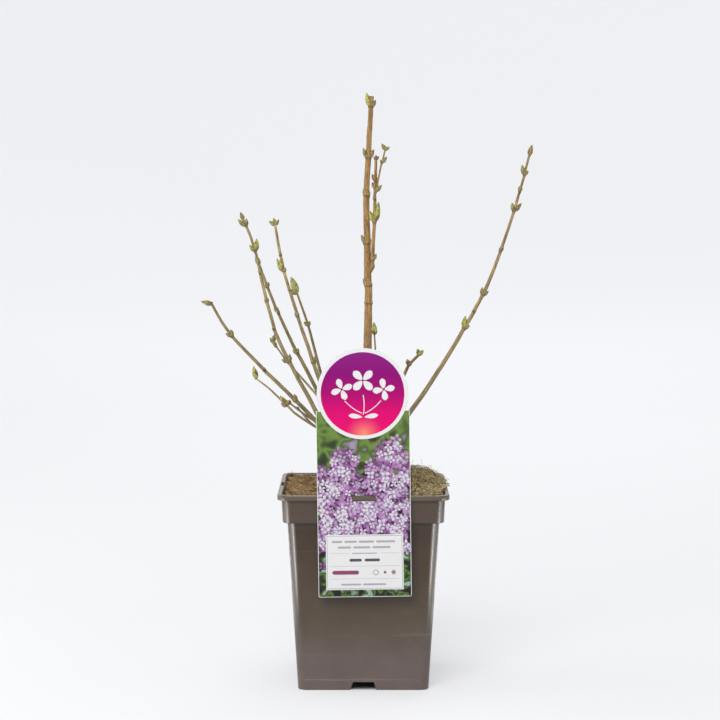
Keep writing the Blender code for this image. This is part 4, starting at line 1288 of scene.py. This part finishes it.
# Winter scales are brown and corky, live ones olive, their edges yellow-green, and opening ones a
# clear yellow-green. All have a satin wax that lights up along the keels.
BUD_SCALES = [bud_scale(*look) for look in (
    ("brown_bud_scale", "#45300f", "#6c4e22", 0.6), ("olive_bud_scale", "#4d431c", "#716a31", 0.5),
    ("pale_scale_edge", "#79733a", "#9d9857", 0.5), ("opening_bud_scale", "#62641b", "#86852d", 0.45),
    ("opening_scale_edge", "#8f8c3a", "#a8a355", 0.45), ("dark_bud_tip", "#27160d", "#432a1a", 0.6))]


def draw_buds(form, owner, buds, chance):
    for bud in buds:
        draw_bud(form, bud, owner == FORWARD_MASS, chance)


for number, (owner, buds) in enumerate(ALL_BUDS.items()):
    chance = random.Random(BUD_SEED + number)
    piece = new_piece(f"{owner}_buds", lambda form: draw_buds(form, owner, buds, chance), BUD_SCALES,
                      smooth_below=60)
    belongs(piece, owner)


# Hang label. A printed polypropylene card 0.6 mm thick with a round head. A window is punched in it for
# a tongue, which folds back over the lip of the pot and down through its front slot. The print here is
# a plain design of the builder's own: a glowing disc with a white sprig, lilac florets and ruled lines.
CARD_HALF = 0.0485
CARD_FOOT = 0.104
CARD_SHOULDER = 0.299
CARD_CORNER = 0.001
CARD_THICKNESS = 0.0006
HEAD_RADIUS = 0.0475
HEAD_MIDDLE = 0.3165
HEAD_STEPS = 64
RIM_INSET = 0.0004
DISC_RADIUS = 0.0433
DISC_STEPS = 96
WINDOW = (0.0125, 0.2045, 0.2105)
TONGUE_HANG = 0.0055
TONGUE_CLEAR = 0.0005
TONGUE_BEND = 0.0006
TONGUE_SIDE_GAP = 0.0003
CARD_TURN = math.radians(-0.77)
CARD_SHIFT = 0.0005
PICTURE_TOP = 0.2985
PICTURE_INSET = 0.0006
PANEL = (0.0403, 0.1116, 0.1696)
INK = 0.00003
CARD_FRONT = -LIP_HALF - GAP - CARD_THICKNESS


def hang(piece, node=None):
    """Put a piece of the label at its place: turned about the lip, as it hangs a little askew."""
    pivot = Matrix.Translation((CARD_SHIFT, 0, POT_HEIGHT))
    back = Matrix.Translation((0, 0, -POT_HEIGHT))
    piece.data.transform(pivot @ Matrix.Rotation(CARD_TURN, 4, "Y") @ back)
    belongs(piece, node)


def circle(middle, radius, steps=HEAD_STEPS, start=0.0, sweep=math.tau):
    """Points of a circle or an arc in the plane of the card."""
    last = steps if sweep == math.tau else steps - 1
    return [(middle[0] + radius * math.cos(start + sweep * s / last),
             middle[1] + radius * math.sin(start + sweep * s / last)) for s in range(steps)]


def card_outline():
    start = math.asin((CARD_SHOULDER - HEAD_MIDDLE) / HEAD_RADIUS)
    head = circle((0, HEAD_MIDDLE), HEAD_RADIUS, HEAD_STEPS, start, math.pi - 2 * start)
    low, side = CARD_FOOT + CARD_CORNER, CARD_HALF - CARD_CORNER
    foot = [(-CARD_HALF, low), (-side, CARD_FOOT), (side, CARD_FOOT), (CARD_HALF, low)]
    return foot + [(CARD_HALF, CARD_SHOULDER)] + head + [(-CARD_HALF, CARD_SHOULDER)]


def printed(form, outline, depth, material_index, holes=(), sunk=INK):
    """A printed shape: a thin closed plate that stands the given depth proud of the card's front."""
    flat = bpy.data.curves.new("print", "CURVE")
    flat.dimensions = "2D"
    flat.fill_mode = "BOTH"
    flat.extrude = (depth + sunk) / 2
    for ring in (outline, *holes):
        spline = flat.splines.new("POLY")
        spline.points.add(len(ring) - 1)
        for point, (x, z) in zip(spline.points, ring):
            point.co = (x, z, 0, 1)
        spline.use_cyclic_u = True
    drawn = bpy.data.objects.new("print", flat)
    mesh = bpy.data.meshes.new_from_object(drawn)
    to_card = Matrix.Translation((0, CARD_FRONT - (depth - sunk) / 2, 0))
    mesh.transform(to_card @ Matrix.Rotation(math.pi / 2, 4, "X"))
    before = len(form.faces)
    form.from_mesh(mesh)
    colour_new_faces(form, before, material_index)
    bpy.data.objects.remove(drawn, do_unlink=True)
    bpy.data.curves.remove(flat)
    bpy.data.meshes.remove(mesh)


def rectangle(left, low, right, high):
    return [(left, low), (right, low), (right, high), (left, high)]


def bar(left, right, middle, tall):
    """A bar with round ends, in the place of a line of print."""
    radius = tall / 2
    return (circle((right - radius, middle), radius, 7, -math.pi / 2, math.pi)
            + circle((left + radius, middle), radius, 7, math.pi / 2, math.pi))


def there_and_back(side):
    """A closed outline from one side of it: out along the side, round the tip and back mirrored."""
    return side + [(1.0, 0.0)] + [(a, -b) for a, b in reversed(side)]


LEAF_OUTLINE = there_and_back([(0.0, 0.10), (0.18, 0.30), (0.42, 0.46), (0.66, 0.50), (0.86, 0.34)])


def petal(middle, angle, length, width):
    """A petal or leaf from the middle outwards: round-shouldered, with a small point."""
    cosine, sine = math.cos(angle), math.sin(angle)
    points = [(a * length, b * width) for a, b in LEAF_OUTLINE]
    return [(middle[0] + x * cosine - z * sine, middle[1] + x * sine + z * cosine) for x, z in points]


def card_ink(name, colour):
    """Offset ink on the card: one flat satin colour with the faint mottle of the print's dots."""
    finish = Finish(name, {"Roughness": 0.42, "IOR": 1.49, "Specular IOR Level": 0.2})
    return finish.done(finish.mix(0.12, colour, finish.noise(0.0012, 2), "OVERLAY"))


CARD_WHITE = card_ink("white_plastic_card", "#bebdbd")
GREY_INK = card_ink("grey_ink", "#8e8c8f")
DARK_INK = card_ink("charcoal_ink", "#484248")
PLUM_INK = card_ink("plum_ink", "#743657")

# The print behind the florets is out of focus: soft greens above, lilac greys, and near-black below.
finish = Finish("blurred_garden_print", {"Roughness": 0.42, "Specular IOR Level": 0.2})
low = finish.ramp(finish.noise(0.0085, 0, Distortion=0.6), (0.40, "#161315"), (0.50, "#242c19"),
                  (0.57, "#4c6a22"), (0.64, "#1c2217"), (0.74, "#76907f"))
high = finish.ramp(finish.noise(0.018, 1), (0.30, "#84788a"), (0.41, "#39491f"), (0.51, "#587232"),
                   (0.60, "#2c381b"), (0.70, "#1c2415"))
BLURRED = finish.done(finish.mix(finish.spread(finish.along("Z"), 0.195, 0.225), low, high))

# The disc's ink runs from purple through magenta to hot pink, with an orange glow low in the middle.
finish = Finish("glowing_disc_print", {"Roughness": 0.45, "Specular IOR Level": 0.08})
rise = finish.spread(finish.along("Z"), HEAD_MIDDLE - DISC_RADIUS, HEAD_MIDDLE + DISC_RADIUS)
down = finish.ramp(rise, (0.0, "#c10256"), (0.28, "#b4005a"), (0.50, "#8c0058"), (0.74, "#72045e"),
                   (1.0, "#701565"))
from_glow = finish.node("VectorMath", {"operation": "DISTANCE", 0: finish.place,
                                       1: (0.0008, CARD_FRONT, 0.2745)})
heat = finish.reckon("POWER", finish.spread(from_glow.outputs["Value"], 0.021, 0.0), 1.8)
GLOW = finish.done(finish.mix(heat, down, "#cc7a60"))


def draw_card(form):
    """The card with its window, its picture, the white rim and the disc of the head, and its panel."""
    half, low, high = WINDOW
    window = rectangle(-half, low, half, high)
    printed(form, card_outline(), 0, 0, [window], CARD_THICKNESS)
    side = CARD_HALF - PICTURE_INSET
    printed(form, rectangle(-side, CARD_FOOT + PICTURE_INSET, side, PICTURE_TOP), INK, 1, [window])
    printed(form, circle((0, HEAD_MIDDLE), HEAD_RADIUS - RIM_INSET, DISC_STEPS), 6 * INK, 0)
    printed(form, circle((0, HEAD_MIDDLE), DISC_RADIUS, DISC_STEPS), 7 * INK, 2)
    half, low, high = PANEL
    printed(form, rectangle(-half, low, half, high), 6 * INK, 0)


FLORET_THROAT = 0.0012
STALK_STEPS = 12
STALK_HALF = 0.00045


def bend_between(start, middle, end, t):
    """A point of a curve that bends once, and the slope of the curve there."""
    x, z = ((1 - t) ** 2 * a + 2 * t * (1 - t) * b + t * t * c for a, b, c in zip(start, middle, end))
    run, rise = (2 * (1 - t) * (b - a) + 2 * t * (c - b) for a, b, c in zip(start, middle, end))
    return x, z, math.atan2(rise, run)


def draw_sprig(form):
    """Three white florets on thin curved stems with two leaves, in the middle of the disc."""
    depth = 8 * INK
    for x, z, reach, turn in ((-0.0215, 0.3215, 0.0105, 0.35), (0.0005, 0.3305, 0.0125, 0.78),
                              (0.0220, 0.3210, 0.0105, 0.15)):
        for quarter in range(4):
            angle = turn + quarter * math.pi / 2
            foot = (x + FLORET_THROAT * math.cos(angle), z + FLORET_THROAT * math.sin(angle))
            printed(form, petal(foot, angle, reach, reach * 0.62), depth, 0)
    for points in (((0.0005, 0.2950), (0.0025, 0.3050), (0.0006, 0.3155)),
                   ((-0.0008, 0.2965), (-0.0100, 0.3000), (-0.0185, 0.3095)),
                   ((0.0020, 0.2965), (0.0110, 0.3000), (0.0190, 0.3095))):
        left, right = [], []
        for step in range(STALK_STEPS + 1):
            x, z, slope = bend_between(*points, step / STALK_STEPS)
            aside, up = STALK_HALF * math.sin(slope), STALK_HALF * math.cos(slope)
            left.append((x - aside, z + up))
            right.append((x + aside, z - up))
        printed(form, left + list(reversed(right)), depth, 0)
    for x, angle in ((-0.0010, math.radians(172)), (0.0022, math.radians(8))):
        printed(form, petal((x, 0.2925), angle, 0.0140, 0.0050), depth, 0)


FRAME_INSET = 0.0012
FRAME_WIDTH = 0.0003
RULE_INSET = 0.0045
RULE_WIDTH = 0.00035
SIGN_LEVEL = 0.1298


def draw_panel_print(form):
    """The white panel's thin frame, its rules, and bars and plain signs in the place of print."""
    half, low, high = PANEL
    depth = 7 * INK
    frame_lines = [rectangle(-half + inset, low + inset, half - inset, high - inset)
                   for inset in (FRAME_INSET, FRAME_INSET + FRAME_WIDTH)]
    printed(form, frame_lines[0], depth, 1, [frame_lines[1]])
    end = half - RULE_INSET
    for z, gap in ((0.1500, 0.017), (0.1364, 0), (0.1230, 0)):
        for left, right in (((-end, -gap), (gap, end)) if gap else ((-end, end),)):
            printed(form, rectangle(left, z, right, z + RULE_WIDTH), depth, 0)
        if gap:
            printed(form, bar(-gap + 0.004, gap - 0.004, z, 0.0012), depth, 0)
    for z, tall, spans, ink in (
            (0.1622, 0.0022, ((-0.034, -0.023), (-0.021, -0.008), (-0.006, 0.010), (0.012, 0.032)), 0),
            (0.1562, 0.0022, ((-0.028, -0.014), (-0.012, 0.006), (0.008, 0.027)), 0),
            (0.1428, 0.0030, ((-0.016, -0.003), (0.000, 0.016)), 1),
            (SIGN_LEVEL, 0.0042, ((-0.034, -0.006),), 2),
            (0.1172, 0.0020, ((-0.025, -0.004), (-0.002, 0.022)), 0)):
        for left, right in spans:
            printed(form, bar(left, right, z, tall), depth, ink)
    ring, hole = (circle((0.0115, SIGN_LEVEL), radius, 24) for radius in (0.0028, 0.0023))
    printed(form, ring, depth, 1, [hole])
    printed(form, circle((0.0210, SIGN_LEVEL), 0.0014, 16), depth, 2)
    for sixth in range(6):
        printed(form, petal((0.0300, SIGN_LEVEL), sixth * math.pi / 3, 0.0030, 0.0011), depth, 2)


def draw_tongue(form):
    """The tongue: back from the window over the lip, bent down into the front slot."""
    half = WINDOW[0] - TONGUE_SIDE_GAP
    thick = CARD_THICKNESS
    low = POT_HEIGHT + TONGUE_CLEAR
    bend_y, bend_z = SLOT_MIDDLE - TONGUE_BEND, low - TONGUE_BEND
    edges = [((y, low), (y, low + thick)) for y in (CARD_FRONT + thick, bend_y)]
    for swing in (15, 40, 65, 90):
        angle = math.radians(swing)
        edges.append([(bend_y + radius * math.sin(angle), bend_z + radius * math.cos(angle))
                      for radius in (TONGUE_BEND, TONGUE_BEND + thick)])
    for drop in (TONGUE_HANG * 0.6, TONGUE_HANG):
        edges.append(((SLOT_MIDDLE, low - drop), (SLOT_MIDDLE + thick, low - drop)))
    loft(form, [[(-half, *inner), (half, *inner), (half, *outer), (-half, *outer)] for inner, outer in edges])


hang(new_piece("label_card", lambda form: (draw_card(form), draw_tongue(form)), [CARD_WHITE, BLURRED, GLOW]),
     "hang_label")
hang(new_piece("label_sprig", draw_sprig, [CARD_WHITE]))
hang(new_piece("label_panel_print", draw_panel_print, [GREY_INK, DARK_INK, PLUM_INK]))

PETAL_OUTLINE = there_and_back([(0.0, 0.16), (0.35, 0.42), (0.68, 0.50), (0.90, 0.30)])
TUBE_OUTLINE = there_and_back([(0.0, 0.18), (0.45, 0.22), (0.62, 0.45), (0.82, 0.50), (0.95, 0.30)])


def draw_flake(form, outline, length, width, angle=0.0, back=0.0):
    """A flat closed shape of ink, which keeps each point's share of its length for the colour."""
    cosine, sine = math.cos(angle), math.sin(angle)
    points = [(a * length - back, b * width) for a, b in outline]
    rows = loft(form, [[(x * cosine - y * sine, x * sine + y * cosine, depth) for x, y in points]
                       for depth in (INK, -INK)])
    share = form.verts.layers.float["petal_share"]
    for row in rows:
        for vertex, (a, _) in zip(row, outline):
            vertex[share] = a


def draw_floret(form, reach, turn, fold):
    """A printed lilac floret: four petals and its throat, one of them seen more from the side."""
    form.verts.layers.float.new("petal_share")
    for quarter in range(4):
        angle = turn + quarter * math.pi / 2 + 0.12 * math.sin(7 * turn + quarter)
        length = reach * (1 - fold * (0.5 + 0.5 * math.cos(angle)))
        draw_flake(form, PETAL_OUTLINE, length, length * 0.56, angle)


def draw_tube(form, length, width):
    """A printed unopened floret: a slim club on its thin tube."""
    form.verts.layers.float.new("petal_share")
    draw_flake(form, TUBE_OUTLINE, length, width, back=length / 2)


def petal_ink(name, throat, tip):
    """Floret ink: its colour runs from the throat to the petal's tip by the floret's own attribute."""
    finish = Finish(name, {"Roughness": 0.42, "Specular IOR Level": 0.2})
    along = finish.node("Attribute", {"attribute_name": "petal_share"}).outputs["Fac"]
    return finish.done(finish.ramp(along, (0.05, throat), (0.55, tip)))


def flower_sheet(form, spots):
    """Where florets are strewn: rectangles of the card's front, each given by its sides."""
    for sides in spots:
        form.faces.new([form.verts.new((x, CARD_FRONT, z)) for x, z in rectangle(*sides)])


TRIM = 0.0007
MOSTLY = 0.7


def keep_on_card(piece, island):
    """Trim the petals that would pass the card's edge or lie over its window."""
    for vertex in piece.data.vertices:
        vertex.co.x = min(max(vertex.co.x, TRIM - CARD_HALF), CARD_HALF - TRIM)
        vertex.co.z = max(vertex.co.z, CARD_FOOT + TRIM)
    half, low, high = WINDOW
    form = bmesh.new()
    form.from_mesh(piece.data)
    form.verts.ensure_lookup_table()
    spare = []
    for first in range(0, len(form.verts), island):
        flake = form.verts[first:first + island]
        over = [v for v in flake if abs(v.co.x) < half and low < v.co.z < high]
        middle = sum((v.co for v in flake), Vector()) / island
        levels = [v.co.z for v in flake]
        crosses = min(levels) < low and max(levels) > high and abs(middle.x) < half
        if crosses or len(over) > MOSTLY * island:
            spare += flake
            continue
        for vertex in over:
            if abs(middle.x) > half:
                vertex.co.x = math.copysign(half, middle.x)
            else:
                vertex.co.z = high if middle.z > (low + high) / 2 else low
    bmesh.ops.delete(form, geom=spare, context="VERTS")
    form.to_mesh(piece.data)
    form.free()


FLORETS = hidden_collection("floret", [
    lambda form, n=n: draw_floret(form, 0.0060, 0.35 * n, 0.12 * (n % 4)) for n in range(8)])
TUBES = hidden_collection("floret_tube", [
    lambda form, n=n: draw_tube(form, 0.0085 + 0.001 * (n % 3), 0.0026 + 0.0004 * (n % 2)) for n in range(6)])

# The strewn zones: the card's width about the window's level with its low edges, and the loose heaps
# above. Each layer of ink lies a little over the one before it, from the dark florets to the palest.
LOW_ZONE = [(-0.047, 0.166, 0.047, 0.232), (-0.047, 0.150, -0.042, 0.166), (0.042, 0.150, 0.047, 0.166),
            (-0.047, 0.128, -0.043, 0.140)]
HEAPS = [(-0.047, 0.232, -0.030, 0.240), (-0.034, 0.232, -0.006, 0.251), (-0.028, 0.251, -0.014, 0.259),
         (0.004, 0.232, 0.047, 0.246), (0.014, 0.246, 0.042, 0.262), (0.022, 0.262, 0.036, 0.270)]
BOTH_ZONES = LOW_ZONE + HEAPS
INK_SEED = 21
LOWEST_LAYER, LAYER_STEP = 1.4, 0.6
for layer, (name, zones, shapes, ink, density, (smallest, largest)) in enumerate((
        ("florets_shadow", LOW_ZONE, FLORETS, ("#120c13", "#2f1e33"), 30000.0, (0.8, 1.3)),
        ("tubes_deep", HEAPS, TUBES, ("#2d1b30", "#5c3a60"), 60000.0, (0.8, 1.2)),
        ("florets_mauve", BOTH_ZONES, FLORETS, ("#37203c", "#764d7b"), 22000.0, (0.7, 1.1)),
        ("tubes_mauve", BOTH_ZONES, TUBES, ("#47264b", "#926793"), 30000.0, (0.8, 1.3)),
        ("florets_lilac", BOTH_ZONES, FLORETS, ("#5a3d62", "#9d88a3"), 15000.0, (0.65, 1.0)),
        ("florets_white", LOW_ZONE + HEAPS[1:5:3], FLORETS, ("#7f6988", "#b4b0b8"), 15000.0, (0.6, 0.95)))):
    print_layer = new_piece(f"label_{name}", lambda form: flower_sheet(form, zones), [])
    for polygon in print_layer.data.polygons:
        if polygon.normal.y > 0:
            polygon.flip()
    run_nodes(print_layer, LAY_FIBRES, {
        "Fibres": shapes, "Per square metre": density, "Smallest": smallest, "Largest": largest, "Tilt": 0.0,
        "Lift": INK * (layer * LAYER_STEP + LOWEST_LAYER), "Seed": INK_SEED + layer,
        "Finish": petal_ink(f"{name}_ink", *ink)})
    keep_on_card(print_layer, 2 * len(PETAL_OUTLINE if shapes is FLORETS else TUBE_OUTLINE))
    hang(print_layer)
drop_collection(FLORETS)
drop_collection(TUBES)


# Studio: a pale floor that curves up all round into its backdrop, and large soft lights. Each ring of
# the stage is given by its radius and its height.
STAGE_SIDES = 96
STAGE_RINGS = ((0.6, 0.0), (1.4, 0.0), (2.4, 0.03), (3.2, 0.25), (3.8, 0.8), (4.2, 1.6), (4.4, 2.8))


def draw_stage(form):
    angles = [math.tau * s / STAGE_SIDES for s in range(STAGE_SIDES)]
    rings = [[form.verts.new((math.cos(angle) * radius, math.sin(angle) * radius, height))
              for angle in angles] for radius, height in STAGE_RINGS]
    skin(form, rings)
    form.faces.new(rings[0])


# Seamless backdrop paper, lit from behind so that it stays pale and even and takes only a faint shadow.
# It glows a little more far from the plant's lights, and not at all under the pot, where it is dark.
finish = Finish("lit_backdrop_paper", {"Roughness": 0.9, "Specular IOR Level": 0.1, "Base Color": "#8c8c8d",
                                       "Emission Color": "#f5f6f9"})
sides = finish.node("VectorMath", {"operation": "ABSOLUTE", 0: finish.place}).outputs[0]
aside = finish.reckon("MAXIMUM", finish.along("X", sides), finish.along("Y", sides))
glow = finish.reckon("ADD", finish.spread(aside, 0.062, 0.070, 0, 0.52),
                     finish.spread(aside, 0.3, 2.8, 0, 0.20))
backdrop = new_piece("studio_backdrop", draw_stage, [finish.done(None, glow=glow)], smooth_below=60)
if backdrop.data.polygons[-1].normal.z < 0:
    backdrop.data.flip_normals()

world = bpy.data.worlds.new("studio_air")
bpy.context.scene.world = world
world.use_nodes = True
air = world.node_tree.nodes["Background"].inputs
air["Color"].default_value = linear("#f5f6f9")
air["Strength"].default_value = 0.25


def soft_light(name, place, turn, size, watts, gloss_only=False):
    """An area light, turned in degrees about X, Y and Z from facing straight down."""
    lamp = bpy.data.lights.new(name, "AREA")
    lamp.shape = "RECTANGLE"
    lamp.size, lamp.size_y = size
    lamp.energy = watts
    holder = bpy.data.objects.new(name, lamp)
    holder.location = place
    holder.rotation_euler = [math.radians(angle) for angle in turn]
    holder.visible_camera = False
    holder.visible_diffuse = not gloss_only
    bpy.context.scene.collection.objects.link(holder)


# A large window light stands in front and a weaker one behind, one light hangs overhead, and a panel
# stands at each side.
soft_light("front_window", (-0.6, -2.2, 1.9), (54, 0, -15), (1.6, 1.2), 80)
soft_light("back_window", (0.6, 2.2, 1.9), (-54, 0, -15), (1.6, 1.2), 20)
soft_light("overhead", (0.0, -0.2, 2.6), (0, 0, 0), (1.6, 1.6), 30)
soft_light("left_panel", (-1.7, 0.3, 0.8), (90, 0, -100), (1.5, 1.5), 22)
soft_light("right_panel", (1.7, 0.3, 0.8), (90, 0, 100), (1.5, 1.5), 4)

# Cards and strips lie low round the plant and face up. Only gloss shows them: the cards are the grey
# bands on the pot's round corners, and the strips are the bright line beside each band.
CARD_LEVEL = 0.010
FRONT_CARD_LEVEL = 0.012
STRIP_LEVEL = 0.014
STRIP_REACH = 0.64
STRIP_SIZE = (0.055, 0.50)
FRONT_STRIP_WATTS = 2.4
BACK_STRIP_WATTS = 0.8
FACE_UP = 180
for side, name in ((-1, "left"), (1, "right")):
    soft_light(f"{name}_low_card", (side * 0.725, -0.175, CARD_LEVEL), (FACE_UP, 0, 0),
               (0.95, 0.65), 5, gloss_only=True)
    soft_light(f"{name}_front_card", (side * 0.60, -0.35, FRONT_CARD_LEVEL), (FACE_UP, 0, 0),
               (0.6, 0.4), 3.6, gloss_only=True)
for turn in (52, 128, 232, 308):
    x, y = STRIP_REACH * math.sin(math.radians(turn)), STRIP_REACH * math.cos(math.radians(turn))
    soft_light(f"strip_{turn}", (x, y, STRIP_LEVEL), (FACE_UP, 0, -turn), STRIP_SIZE,
               FRONT_STRIP_WATTS if 90 < turn < 270 else BACK_STRIP_WATTS, gloss_only=True)

# The camera stands at the photograph's viewing angle
bpy.context.scene.view_settings.view_transform = "Standard"
lens = bpy.data.cameras.new("photo_camera")
lens.lens = 105.683
lens.sensor_width = 36
camera = bpy.data.objects.new("photo_camera", lens)
camera.location = (-0.00353, -2.266, 0.530)
camera.rotation_euler = (math.pi / 2 - 0.0818, 0, 0)
bpy.context.scene.collection.objects.link(camera)
bpy.context.scene.camera = camera
